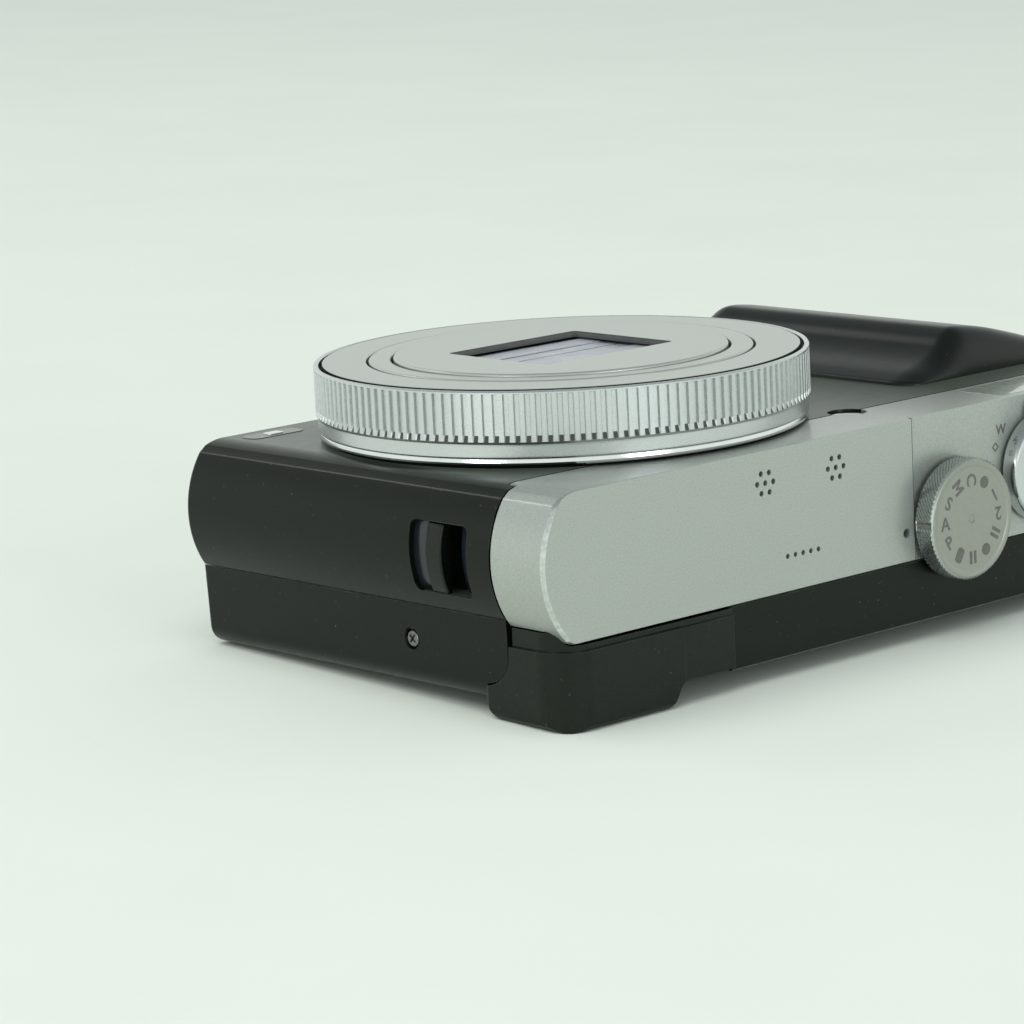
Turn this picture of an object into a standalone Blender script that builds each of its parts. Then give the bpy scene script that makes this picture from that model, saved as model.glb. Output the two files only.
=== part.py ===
"""Compact travel-zoom digital camera, lying on its back.

The lens axis is +Z and the screen's outer face is the plane z = 0.  The top plate faces -Y, the base +Y,
and the hand grip is at the +X end.  Lengths below are in millimetres; meshes are made in metres.
"""
import math

import bmesh
import bpy
from mathutils import Vector

MM = 0.001
GAP = 0.3                       # clearance between pieces that touch on the real camera

# Body envelope
LEFT, RIGHT = -34.5, 76.2       # widest points of the rounded ends
TOP, BASE = -33.0, 31.0         # top plate and base
FRONT, BACK = 25.3, 0.25        # flat front and back of the covers
WALL = 1.3
SEAM_Z = 10.2                   # front cover meets rear cover
BULGE_RADIUS, BULGE_Z = 12.0, 16.9
CREASE_Z = 24.0
PLATE_Z = 8.0                   # rear edge of the silver top plate
WRAP_FRONT_Y = -23.0            # where the silver cover ends on the front
WRAP_SIDE_Y = -24.3             # and on the two ends
WRAP_Z = 9.5                    # lower edge of the silver on the two ends
DECK_X = 26.0                   # the control deck right of this line lies a little lower
DECK_DROP = 0.35

# Lens
RING_RADIUS = 29.87
RING_BASE, RING_TOP = 25.85, 34.4
COLLAR_RADIUS = 27.2
SEAT_RADIUS = 28.6
BEZEL_INNER, BEZEL_OUTER = 23.5, 28.95
BARREL_1_RADIUS = 23.2
BARREL_2_RADIUS = 20.2
BARREL_REAR = 11.0
WINDOW_HALF = (10.5, 8.8)       # front window, half width and half height
APERTURE_HALF = (9.5, 7.6)      # the opening that the barrier blades close
BLADE_Z = (33.6, 34.15)

# Grip: its ends, and (x, height above the front) across it
GRIP_TOP, GRIP_BOTTOM = -17.2, 29.6
GRIP_SECTION = ((43.0, 0.3), (45.0, 1.2), (48.6, 2.3), (50.8, 3.5), (52.2, 4.9), (53.8, 5.8), (56.5, 5.7),
                (60.4, 5.0), (65.0, 3.8), (70.0, 2.3), (73.6, 1.0))

# Controls on the top
DIAL_AT, DIAL_RADIUS, DIAL_HEIGHT = (32.9, 12.3), 7.4, 3.0
SHUTTER_AT = (48.7, 16.1)
LEVER_RADIUS, LEVER_INNER = 6.8, 4.8
POWER_AT, MOVIE_AT = (64.5, 12.6), (62.0, 20.6)

# Controls on the back
PAD_AT, PAD_RADIUS = (57.0, 7.0), 10.5
BACK_BUTTONS = {"lvf_button": (1.5, -26.5, 2.6), "play_button": (46.5, -11.5, 2.5),
                "disp_button": (47.0, 23.5, 2.4), "delete_button": (67.5, 23.5, 2.4)}

# Screen, battery, doors
GLASS = (-29.0, -18.5, 36.5, 29.0)          # x0, y0, x1, y1
BASE_PLATE = (-24.0, 4.0, 38.0, 21.0)       # x0, z0, x1, z1
TRIPOD_AT, TRIPOD_RADIUS = (22.0, 12.5), 3.175
DOOR_HINGE = (44.2, 29.7)
DOOR = (45.4, 8.6, 72.0, 23.4)              # x0, z0, x1, z1
PORT = (-21.0, 12.4, -9.5, 21.6)            # y0, z0, y1, z1
STRAP = (-20.3, 12.2, -10.5, 20.6)          # y0, z0, y1, z1
SCREW_AT = (-7.5, 5.8)

AXES = {"X": (1, 2, 0), "Y": (0, 2, 1), "Z": (0, 1, 2)}     # the two outline axes, then the extrusion axis


def clear_scene():
    for obj in list(bpy.data.objects):
        bpy.data.objects.remove(obj, do_unlink=True)


# ---------------------------------------------------------------- outlines

def arc(a, b, c, steps):
    """Points on the circle through a, b and c, from a to c."""
    (ax, ay), (bx, by), (cx, cy) = a, b, c
    d = 2 * (ax * (by - cy) + bx * (cy - ay) + cx * (ay - by))
    aa, bb, cc = ax * ax + ay * ay, bx * bx + by * by, cx * cx + cy * cy
    ux = (aa * (by - cy) + bb * (cy - ay) + cc * (ay - by)) / d
    uy = (aa * (cx - bx) + bb * (ax - cx) + cc * (bx - ax)) / d
    start = math.atan2(ay - uy, ax - ux)
    turn = math.atan2(cy - uy, cx - ux) - start
    turn = (turn + math.pi) % (2 * math.pi) - math.pi
    radius = math.hypot(ax - ux, ay - uy)
    return [(ux + radius * math.cos(start + turn * i / steps), uy + radius * math.sin(start + turn * i / steps))
            for i in range(steps + 1)]


def circle(cx, cy, radius, count):
    return [(cx + radius * math.cos(2 * math.pi * i / count), cy + radius * math.sin(2 * math.pi * i / count))
            for i in range(count)]


def rounded(x0, y0, x1, y1, radius, steps=3):
    """A rectangle with round corners."""
    points = []
    corners = ((x1 - radius, y1 - radius, 0), (x0 + radius, y1 - radius, 90),
               (x0 + radius, y0 + radius, 180), (x1 - radius, y0 + radius, 270))
    for cx, cy, start in corners:
        for i in range(steps + 1):
            angle = math.radians(start + 90 * i / steps)
            points.append((cx + radius * math.cos(angle), cy + radius * math.sin(angle)))
    return points


def inset(points, distance):
    """The same outline moved inwards by a distance, or outwards by a negative one."""
    count = len(points)
    area = sum(points[i][0] * points[(i + 1) % count][1] - points[(i + 1) % count][0] * points[i][1]
               for i in range(count))
    side = distance if area > 0 else -distance
    moved = []
    for i, point in enumerate(points):
        before, after = Vector(points[i - 1]), Vector(points[(i + 1) % count])
        here = Vector(point)
        first, second = (here - before).normalized(), (after - here).normalized()
        normal = Vector((-first.y - second.y, first.x + second.x))
        scale = side / max(normal.length_squared / 2, 0.2)
        moved.append((here.x + normal.x * scale, here.y + normal.y * scale))
    return moved


def mirrored(chain):
    """A chain along the left end, closed by its mirror image along the right end."""
    return chain + [(LEFT + RIGHT - x, z) for x, z in reversed(chain)]


def bulge(z0, z1, steps):
    """Points down the bulging left end, which is part of one circle, between two heights."""
    first, last = (math.asin((z - BULGE_Z) / BULGE_RADIUS) for z in (z0, z1))
    angles = [first + (last - first) * i / steps for i in range(steps + 1)]
    return [(LEFT + BULGE_RADIUS * (1 - math.cos(a)), BULGE_Z + BULGE_RADIUS * math.sin(a)) for a in angles]


def front_corner():
    """The round front corner, which meets the bulge in a faint crease."""
    return arc((LEFT + 5.2, FRONT), (LEFT + 3.45, FRONT - 0.4), bulge(CREASE_Z, SEAM_Z, 1)[0], 3)


def body_outline():
    """Width and depth section of the black body: round front corner, bulging end, round back corner."""
    chain = front_corner() + bulge(CREASE_Z, SEAM_Z, 7)[1:]
    chain += arc((LEFT + 2.4, BACK + 2.3), (LEFT + 3.1, BACK + 0.65), (LEFT + 4.7, BACK), 3)
    return mirrored(chain)


def top_outline():
    """The same section for the silver cover, which ends on its straight rear edge."""
    return mirrored(front_corner() + bulge(CREASE_Z, PLATE_Z, 10)[1:])


# ---------------------------------------------------------------- solids

def put(name, verts, faces):
    """A mesh object from points in millimetres, with its faces turned outwards."""
    mesh = bpy.data.meshes.new(name)
    mesh.from_pydata([[c * MM for c in v] for v in verts], [], faces)
    form = bmesh.new()
    form.from_mesh(mesh)
    bmesh.ops.recalc_face_normals(form, faces=form.faces)
    form.to_mesh(mesh)
    form.free()
    obj = bpy.data.objects.new(name, mesh)
    bpy.context.scene.collection.objects.link(obj)
    return obj


def sections(name, axis, layers):
    """A solid through outlines with the same number of points, each at its own place on the axis."""
    u, v, w = AXES[axis]
    count = len(layers[0][1])
    verts, faces = [], []
    for place, outline in layers:
        for a, b in outline:
            point = [0.0, 0.0, 0.0]
            point[u], point[v], point[w] = a, b, place
            verts.append(point)
    for layer in range(len(layers) - 1):
        first, second = layer * count, (layer + 1) * count
        for i in range(count):
            j = (i + 1) % count
            faces.append((first + i, first + j, second + j, second + i))
    faces.append(tuple(range(count)))
    faces.append(tuple(range((len(layers) - 1) * count, len(layers) * count)))
    return put(name, verts, faces)


def prism(name, axis, outline, low, high):
    return sections(name, axis, [(low, outline), (high, outline)])


def block(name, low, high):
    return prism(name, "Z", [(low[0], low[1]), (high[0], low[1]), (high[0], high[1]), (low[0], high[1])],
                 low[2], high[2])


def rod(name, axis, centre, radius, low, high, count=24):
    return prism(name, axis, circle(*centre, radius, count), low, high)


def turned(name, axis, centre, outline, count=48):
    """A closed (radius, place) outline turned about an axis; it keeps clear of the axis itself."""
    u, v, w = AXES[axis]
    verts, faces = [], []
    size = len(outline)
    for i in range(count):
        angle = 2 * math.pi * i / count
        for radius, place in outline:
            point = [0.0, 0.0, 0.0]
            point[u] = centre[0] + radius * math.cos(angle)
            point[v] = centre[1] + radius * math.sin(angle)
            point[w] = place
            verts.append(point)
    for i in range(count):
        j = (i + 1) % count
        for k in range(size):
            n = (k + 1) % size
            faces.append((i * size + k, j * size + k, j * size + n, i * size + n))
    return put(name, verts, faces)


def disc(name, axis, centre, outline, count=32):
    """A solid of revolution given as (radius, place) steps from one flat end to the other."""
    return sections(name, axis, [(place, circle(*centre, radius, count)) for radius, place in outline])


def boolean(obj, operation, others):
    for other in others:
        other.hide_render = True
        other.display_type = "WIRE"
        modifier = obj.modifiers.new(operation.title(), "BOOLEAN")
        modifier.operation = operation
        modifier.solver = "EXACT"
        modifier.object = other


def cut(obj, *others):
    boolean(obj, "DIFFERENCE", others)


def join(obj, *others):
    boolean(obj, "UNION", others)


def keep(obj, *others):
    boolean(obj, "INTERSECT", others)


def pivot(obj, x, y, z):
    """Puts the object's origin on its joint's axis, leaving its shape where it is."""
    place = Vector((x, y, z)) * MM
    for vertex in obj.data.vertices:
        vertex.co -= place
    obj.location = place
    return obj


def finish(obj, colour, roughness, metallic=0.0, smooth=False):
    material = bpy.data.materials.new(obj.name)
    material.use_nodes = True
    shader = material.node_tree.nodes["Principled BSDF"]
    shader.inputs["Base Color"].default_value = (*colour, 1.0)
    shader.inputs["Roughness"].default_value = roughness
    shader.inputs["Metallic"].default_value = metallic
    obj.data.materials.append(material)
    if smooth:
        obj.data.shade_smooth()
        obj.data.set_sharp_from_angle(angle=math.radians(35))
    return obj


BLACK = (0.022, 0.026, 0.022)
SILVER = (0.52, 0.54, 0.50)


# ---------------------------------------------------------------- covers

def make_front_cover():
    outline = body_outline()
    cover = sections("front_cover", "Y", [(WRAP_SIDE_Y + GAP / 2, outline), (BASE - 0.4, outline),
                                          (BASE, inset(outline, 0.4))])
    cut(cover,
        block("cut_front_below", (LEFT - 5, -60, -5), (RIGHT + 5, 60, SEAM_Z + GAP / 2)),
        prism("cut_front_inside", "Y", inset(outline, WALL), -40, BASE - WALL),
        block("cut_front_step", (LEFT + 4.3, -40, 20), (RIGHT - 4.3, WRAP_FRONT_Y + GAP / 2, 30)),
        rod("cut_front_lens", "Z", (0, 0), SEAT_RADIUS + GAP, 15, 30, 64),
        block("cut_front_strap", (LEFT - 2, STRAP[0], STRAP[1]), (LEFT + 6, STRAP[2], STRAP[3])),
        block("cut_front_port", (RIGHT - 8, PORT[0] - GAP, PORT[1] - GAP), (RIGHT + 4, PORT[2] + GAP, PORT[3] + GAP)),
        block("cut_front_door", (42.0, BASE - 4, 5), (DOOR[2] + GAP, BASE + 4, DOOR[3] + GAP)),
        prism("cut_front_base", "Y", rounded(BASE_PLATE[0] - GAP, BASE_PLATE[1] - GAP, BASE_PLATE[2] + GAP,
                                             BASE_PLATE[3] + GAP, 2.3), BASE - 4, BASE + 4))
    return finish(cover, BLACK, 0.42, smooth=True)


def evf_side(grow=0.0):
    """Side outline (y, z) of the viewfinder housing: it spreads over the back below the body's corner."""
    points = [(-33.35, 7.1), (-33.35, -1.1), (-32.6, -1.9), (-31.8, -2.1), (-22.0, -2.1), (-21.0, -1.7),
              (-20.6, -1.0), (-20.6, 1.9), (-22.8, 3.1), (-24.5, 4.9), (-24.5, 7.1)]
    return inset(points, -grow) if grow else points


def make_rear_cover():
    outline = body_outline()
    cover = sections("rear_cover", "Y", [(TOP + DECK_DROP, inset(outline, 0.5)), (TOP + DECK_DROP + 0.5, outline),
                                         (BASE - 0.4, outline), (BASE, inset(outline, 0.4))])
    x0, y0, x1, y1 = GLASS
    cut(cover,
        block("cut_rear_above", (LEFT - 5, -60, SEAM_Z - GAP / 2), (RIGHT + 5, 60, 40)),
        prism("cut_rear_inside", "Y", inset(outline, WALL)[:], TOP + DECK_DROP + WALL, BASE - WALL),
        prism("cut_rear_plate", "Y", inset(top_outline(), -GAP), -60, TOP + 2.1),
        block("cut_rear_cap", (-60, -60, WRAP_Z - GAP), (100, WRAP_SIDE_Y + GAP / 2, 40)),
        prism("cut_rear_evf", "X", evf_side(GAP), -50, -13.2),
        block("cut_rear_neck", (-50, -60, 4.5), (-13.2, -24.2, 40)),
        block("cut_rear_step", (-14.0, -60, 0.3), (-5.1, -24.2, 40)),
        block("cut_rear_step_low", (-14.0, -60, -3), (-5.1, -24.2, 2)),
        prism("cut_rear_glass", "Z", rounded(x0 - GAP, y0 - GAP, x1 + GAP, y1 + GAP, 1.5), -3, 1.9),
        rod("cut_rear_pad", "Z", PAD_AT, PAD_RADIUS + GAP, -3, 3, 40),
        block("cut_rear_door", (42.0, BASE - 4, DOOR[1] - GAP), (DOOR[2] + GAP, BASE + 4, 20)),
        prism("cut_rear_base", "Y", rounded(BASE_PLATE[0] - GAP, BASE_PLATE[1] - GAP, BASE_PLATE[2] + GAP,
                                            BASE_PLATE[3] + GAP, 2.3), BASE - 4, BASE + 4),
        rod("cut_rear_screw", "X", SCREW_AT, 1.25, -40, -25, 16))
    for name, (x, y, radius) in BACK_BUTTONS.items():
        cut(cover, rod("cut_rear_" + name, "Z", (x, y), radius + GAP, -3, 3, 20))
    return finish(cover, BLACK, 0.42, smooth=True)


def mic_holes(at):
    """Centres of a small cluster of seven holes, one in the middle of six."""
    pitch = 1.33
    return [at] + [(at[0] + pitch * math.cos(math.radians(60 * i)), at[1] + pitch * math.sin(math.radians(60 * i)))
                   for i in range(6)]


MICS = {"mic_left": (0.75, 21.45), "mic_right": (12.56, 21.45)}
SPEAKER_X, SPEAKER_Z, SPEAKER_PITCH = 6.6, 12.27, 1.3


def make_top_cover():
    outline = top_outline()
    cover = sections("top_cover", "Y", [(TOP, inset(outline, 0.55)), (TOP + 0.5, outline),
                                        (WRAP_FRONT_Y - GAP / 2, outline)])
    end = WRAP_SIDE_Y - GAP / 2
    for name, x0, x1 in (("cut_top_left_foot", LEFT - 5, LEFT + 5), ("cut_top_right_foot", RIGHT - 5, RIGHT + 5)):
        cut(cover, block(name, (x0, TOP + 1.8, 0), (x1, 0, WRAP_Z)))
    cut(cover,
        prism("cut_top_inside", "Y", inset(outline, 1.2), TOP + 1.5, 0),
        block("cut_top_rear", (LEFT + 5.5, TOP + 1.5, 0), (RIGHT - 5.5, 0, 12)),
        block("cut_top_left_end", (LEFT - 5, end, 0), (LEFT + 4.6, 0, 40)),
        block("cut_top_right_end", (RIGHT - 4.6, end, 0), (RIGHT + 5, 0, 40)),
        block("cut_top_deck", (DECK_X, TOP - 5, -5), (RIGHT + 5, TOP + DECK_DROP, 40)),
        rod("cut_top_lens", "Z", (0, 0), SEAT_RADIUS + GAP, 15, 30, 64),
        rod("cut_top_dial", "Y", DIAL_AT, 2.8, TOP - 2, TOP + 4, 20),
        rod("cut_top_shutter", "Y", SHUTTER_AT, LEVER_INNER - 0.6, TOP - 2, TOP + 4, 24),
        rod("cut_top_power", "Y", POWER_AT, 2.7 + GAP, TOP - 2, TOP + 4, 20),
        rod("cut_top_movie", "Y", MOVIE_AT, 2.2 + GAP, TOP - 2, TOP + 4, 20),
        prism("cut_top_flash", "Z", rounded(44.0 - GAP, -31.2 - GAP, 60.0 + GAP, -24.6 + GAP, 1.0), 20, 30),
        rod("cut_top_lamp", "Z", (25.3, -25.2), 1.9 + GAP, 20, 30, 16))
    for name, at in MICS.items():
        for i, hole in enumerate(mic_holes(at)):
            cut(cover, rod(f"cut_{name}_{i}", "Y", hole, 0.42, TOP - 2, TOP + 4, 8))
    for i in range(5):
        at = (SPEAKER_X + (i - 2) * SPEAKER_PITCH, SPEAKER_Z)
        cut(cover, rod(f"cut_speaker_{i}", "Y", at, 0.45, TOP - 2, TOP + 4, 8))
    return finish(cover, SILVER, 0.38, 0.75, smooth=True)


def make_base_parts():
    x0, z0, x1, z1 = BASE_PLATE
    plate = prism("base_plate", "Y", rounded(x0, z0, x1, z1, 2.0), BASE - 1.0, BASE + 0.1)
    cut(plate, rod("cut_base_socket", "Y", TRIPOD_AT, 4.8 + GAP, BASE - 4, BASE + 4, 28))
    screws = []
    for name, at in (("base_screw_left", (-20.0, 12.5)), ("base_screw_right", (34.0, 12.5))):
        cut(plate, rod("cut_" + name, "Y", at, 1.5, BASE - 4, BASE + 4, 16))
        screw = disc(name, "Y", at, [(0.7, BASE - 4.5), (0.7, BASE - 1.0), (1.2, BASE - 0.6), (1.2, BASE - 0.2)], 14)
        slot = [block(f"slot_{name}_{i}", (at[0] - a, BASE - 0.55, at[1] - b), (at[0] + a, BASE + 1, at[1] + b))
                for i, (a, b) in enumerate(((0.7, 0.16), (0.16, 0.7)))]
        cut(screw, *slot)
        screws.append(finish(screw, (0.1, 0.1, 0.1), 0.35, 0.9))
    finish(plate, BLACK, 0.45)
    radius = TRIPOD_RADIUS
    socket = turned("tripod_socket", "Y", TRIPOD_AT,
                    [(radius, BASE), (4.8, BASE), (4.8, BASE - 6.0), (radius, BASE - 6.0)], 28)
    finish(socket, (0.5, 0.48, 0.42), 0.3, 0.9, smooth=True)


def make_side_screw():
    screw = disc("side_screw", "X", SCREW_AT, [(0.9, LEFT + 2.35), (0.9, LEFT + 2.7), (0.55, LEFT + 3.1),
                                               (0.55, LEFT + 6.0)], 16)
    y, z = SCREW_AT
    cut(screw, block("slot_side_a", (LEFT, y - 0.6, z - 0.13), (LEFT + 2.75, y + 0.6, z + 0.13)),
        block("slot_side_b", (LEFT, y - 0.13, z - 0.6), (LEFT + 2.75, y + 0.13, z + 0.6)))
    finish(screw, (0.12, 0.12, 0.11), 0.3, 0.9)


def make_strap_lug():
    y0, z0, y1, z1 = STRAP
    cup = block("strap_cup", (LEFT + 1.9, y0 + 0.2, z0 + 0.2), (LEFT + 5.2, y1 - 0.2, z1 - 0.2))
    cut(cup, block("cut_strap_cup", (LEFT, y0 + 0.8, z0 + 0.8), (LEFT + 4.4, y1 - 0.8, z1 - 0.8)))
    finish(cup, BLACK, 0.5)
    bar = prism("strap_bar", "Y", arc((LEFT + 0.95, z0 + GAP), (LEFT + 0.35, 16.4), (LEFT + 0.65, z1 - GAP), 6)
                + [(LEFT + 1.6, z1 - GAP), (LEFT + 1.6, z0 + GAP)], -16.0, -13.2)
    finish(bar, (0.03, 0.033, 0.03), 0.3, smooth=True)


def grip_rise(x):
    """Height of the grip's ridge above the front: a hollow flank towards the lens, then a long fall."""
    for (x0, h0), (x1, h1) in zip(GRIP_SECTION, GRIP_SECTION[1:]):
        if x <= x1:
            break
    i = GRIP_SECTION.index((x0, h0))
    before = GRIP_SECTION[max(i - 1, 0)]
    after = GRIP_SECTION[min(i + 2, len(GRIP_SECTION) - 1)]
    slope0 = (h1 - before[1]) / (x1 - before[0])
    slope1 = (after[1] - h0) / (after[0] - x0)
    t, width = (x - x0) / (x1 - x0), x1 - x0
    return (h0 * (1 + 2 * t) * (1 - t) ** 2 + h1 * t * t * (3 - 2 * t)
            + width * (slope0 * t * (1 - t) ** 2 - slope1 * t * t * (1 - t)))


def make_grip():
    """A ridge along the body's height with round ends and round corners."""
    foot, last = GRIP_SECTION[0][0], GRIP_SECTION[-1][0]
    floor = FRONT + GAP
    columns, rows = 22, 14
    verts, faces = [], []
    for j in range(rows + 1):
        y = GRIP_TOP + (GRIP_BOTTOM - GRIP_TOP) * (1 - math.cos(math.pi * j / rows)) / 2
        near = min((y - GRIP_TOP) / 3.4, (GRIP_BOTTOM - y) / 5.0, 1.0)
        round_off = math.sqrt(max(0.0, 1 - (1 - near) ** 2))
        x0, x1 = foot + 2.6 * (1 - round_off), last - 2.0 * (1 - round_off)
        for i in range(columns + 1):
            x = x0 + (x1 - x0) * i / columns
            height = grip_rise(foot + (last - foot) * i / columns)
            verts.append((x, y, floor + 0.2 + (height - GAP) * (0.1 + 0.9 * round_off)))
    top_count = len(verts)
    verts += [(x, y, floor) for x, y, _ in verts]
    width = columns + 1
    for j in range(rows):
        for i in range(columns):
            a = j * width + i
            quad = (a, a + 1, a + width + 1, a + width)
            faces.append(quad)
            faces.append(tuple(top_count + k for k in reversed(quad)))
    rim = ([i for i in range(columns)] + [j * width + columns for j in range(rows)]
           + [rows * width + i for i in range(columns, 0, -1)] + [j * width for j in range(rows, 0, -1)])
    for a, b in zip(rim, rim[1:] + rim[:1]):
        faces.append((a, top_count + a, top_count + b, b))
    grip = put("grip", verts, faces)
    return finish(grip, BLACK, 0.5, smooth=True)


# ---------------------------------------------------------------- viewfinder

def make_viewfinder():
    housing = prism("evf_housing", "X", evf_side(), -32.3, -13.5)
    keep(housing,
         prism("keep_evf_plan", "Z", arc((-32.3, -29.4), (-31.2, -32.2), (-28.4, -33.35), 5)
               + [(-13.5, -33.35), (-13.5, -20.6), (-30.3, -20.6), (-31.7, -21.2), (-32.3, -22.6)], -4, 10),
         prism("keep_evf_front", "Y", [(-32.3, 7.1), (-32.3, -1.0), (-31.9, -1.8), (-31.1, -2.1), (-16.3, -2.1),
                                       (-15.5, -1.7), (-13.6, 0.9), (-13.5, 7.1)], -40, -10))
    join(housing,
         block("join_evf_step", (-14.5, -33.25, 0.95), (-5.4, -24.5, 7.1)),
         prism("join_evf_neck", "Z", arc((-31.9, -29.4), (-30.9, -32.0), (-28.3, -33.0), 4)
               + [(-5.4, -33.0), (-5.4, -24.5), (-31.9, -24.5)], 6.5, PLATE_Z - GAP),
         block("join_evf_cheek", (-31.9, TOP + 2.1, 7.0), (-30.4, -24.5, WRAP_Z - GAP)))
    cut(housing,
        block("cut_evf_inside", (-31.0, -31.9, 0.6), (-14.8, -24.9, 12)),
        prism("cut_evf_recess", "Z", rounded(-30.4, -31.9, -16.6, -22.2, 1.6), -5, -1.2),
        prism("cut_evf_window", "Z", rounded(-28.9, -30.4, -18.1, -25.2, 1.0), -5, 3),
        rod("cut_evf_diopter", "Z", (-9.6, -28.8), 3.2, -2, 2.7, 24))
    finish(housing, BLACK, 0.45, smooth=True)
    frame = prism("eye_frame", "Z", rounded(-30.1, -31.6, -16.9, -22.5, 1.4), -2.05, -1.5)
    cut(frame, prism("cut_eye_frame", "Z", rounded(-28.4, -30.0, -18.6, -24.2, 1.0), -3, 0))
    finish(frame, (0.02, 0.02, 0.02), 0.8)
    glass = prism("evf_window", "Z", rounded(-28.6, -30.1, -18.4, -25.5, 0.8), -1.1, 0.3)
    finish(glass, (0.06, 0.07, 0.1), 0.05, smooth=True)
    module = block("evf_module", (-28.6, -31.4, 1.0), (-17.4, -25.3, 20.0))
    finish(module, (0.05, 0.05, 0.05), 0.6)
    dial = turned("diopter_dial", "Z", (-9.6, -28.8), [(0.6, 0.75), (2.85, 0.75), (2.85, 2.3), (0.6, 2.3)], 24)
    finish(pivot(dial, -9.6, -28.8, 1.5), (0.03, 0.03, 0.03), 0.6, smooth=True)


# ---------------------------------------------------------------- lens

def make_lens():
    ring = turned("control_ring", "Z", (0, 0),
                  [(RING_RADIUS - 0.5, RING_BASE), (RING_RADIUS - 0.2, RING_BASE + 0.45),
                   (RING_RADIUS - 0.45, RING_BASE + 2.1), (RING_RADIUS, RING_BASE + 2.7),
                   (RING_RADIUS, RING_TOP - 0.25), (RING_RADIUS - 0.25, RING_TOP), (29.25, RING_TOP),
                   (29.25, 32.9), (27.6, 32.9), (27.6, RING_BASE)], 72)
    finish(pivot(ring, 0, 0, RING_BASE), SILVER, 0.3, 0.9, smooth=True)
    collar = turned("lens_collar", "Z", (0, 0),
                    [(24.0, 10.2), (COLLAR_RADIUS, 10.2), (COLLAR_RADIUS, 21.0), (SEAT_RADIUS, 21.0),
                     (SEAT_RADIUS, 25.5), (COLLAR_RADIUS, 25.5), (COLLAR_RADIUS, 33.0), (24.0, 33.0)], 56)
    finish(collar, (0.02, 0.02, 0.02), 0.6, smooth=True)
    bezel = turned("lens_bezel", "Z", (0, 0),
                   [(BEZEL_INNER, 33.3), (BEZEL_OUTER, 33.3), (BEZEL_OUTER, 34.2), (BEZEL_OUTER - 0.3, 34.45),
                    (BEZEL_INNER, 34.45)], 72)
    finish(bezel, SILVER, 0.42, 0.7, smooth=True)
    first = turned("barrel_1", "Z", (0, 0),
                   [(22.0, BARREL_REAR), (BARREL_1_RADIUS, BARREL_REAR), (BARREL_1_RADIUS, 34.35),
                    (BARREL_1_RADIUS - 0.2, 34.55), (20.55, 34.55), (20.55, 33.3), (22.0, 33.3)], 64)
    finish(pivot(first, 0, 0, BARREL_REAR), SILVER, 0.35, 0.8, smooth=True)
    second = turned("barrel_2", "Z", (0, 0),
                    [(19.0, BARREL_REAR), (BARREL_2_RADIUS, BARREL_REAR), (BARREL_2_RADIUS, 33.1), (19.0, 33.1),
                     (19.0, 24.0), (13.6, 24.0), (13.6, 22.8), (19.0, 22.8)], 56)
    finish(pivot(second, 0, 0, BARREL_REAR), (0.05, 0.05, 0.05), 0.45, 0.3, smooth=True)
    cap = disc("lens_front_cap", "Z", (0, 0), [(BARREL_2_RADIUS, 33.4), (BARREL_2_RADIUS, 34.6),
                                               (BARREL_2_RADIUS - 0.25, 34.85)], 64)
    wide, high = WINDOW_HALF
    narrow, low = APERTURE_HALF
    lip = (36 - 34.3) / (34.85 - 34.3)
    outer = (narrow + (wide - narrow) * lip, low + (high - low) * lip)
    cut(cap, block("cut_blade_room", (-10.3, -16.6, 30), (10.3, 16.6, 34.3)),
        sections("cut_window", "Z", [(30, rounded(-narrow, -low, narrow, low, 0.8)),
                                     (34.3, rounded(-narrow, -low, narrow, low, 0.8)),
                                     (36, rounded(-outer[0], -outer[1], *outer, 0.8))]))
    finish(cap, SILVER, 0.4, 0.7, smooth=True)
    glass = disc("front_lens", "Z", (0, 0), [(4.0, 23.6), (10.0, 24.4), (13.2, 25.6), (13.2, 27.4), (11.0, 28.7),
                                             (7.0, 29.6), (3.0, 30.0)], 36)
    finish(glass, (0.1, 0.09, 0.13), 0.02, smooth=True)
    group = disc("zoom_group", "Z", (0, 0), [(17.6, 10.5), (17.6, 13.1), (9.0, 13.7), (9.0, 15.7), (6.0, 16.9)], 32)
    finish(pivot(group, 0, 0, 10.5), (0.04, 0.04, 0.04), 0.5, smooth=True)
    for name, side in (("barrier_blade_a", 1), ("barrier_blade_b", -1)):
        leaf = [(-10.0, 0.15), (10.0, 0.15), (10.0, 6.9), (8.8, 8.1), (-8.8, 8.1), (-10.0, 6.9)]
        blade = prism(name, "Z", [(x, y * side) for x, y in leaf], *BLADE_Z)
        finish(pivot(blade, 0, 0, BLADE_Z[0]), (0.35, 0.37, 0.4), 0.3, 0.8)
    plate = turned("lens_rear_plate", "Z", (0, 0), [(5.5, 8.9), (25.4, 8.9), (25.4, 9.9), (5.5, 9.9)], 40)
    finish(plate, (0.05, 0.05, 0.05), 0.6)
    motor = disc("zoom_motor", "Z", (36.6, 10.0), [(3.9, 11.0), (3.9, 21.0), (1.2, 21.4), (1.2, 23.0)], 24)
    finish(motor, (0.4, 0.4, 0.4), 0.35, 0.8, smooth=True)


# ---------------------------------------------------------------- inside

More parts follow.
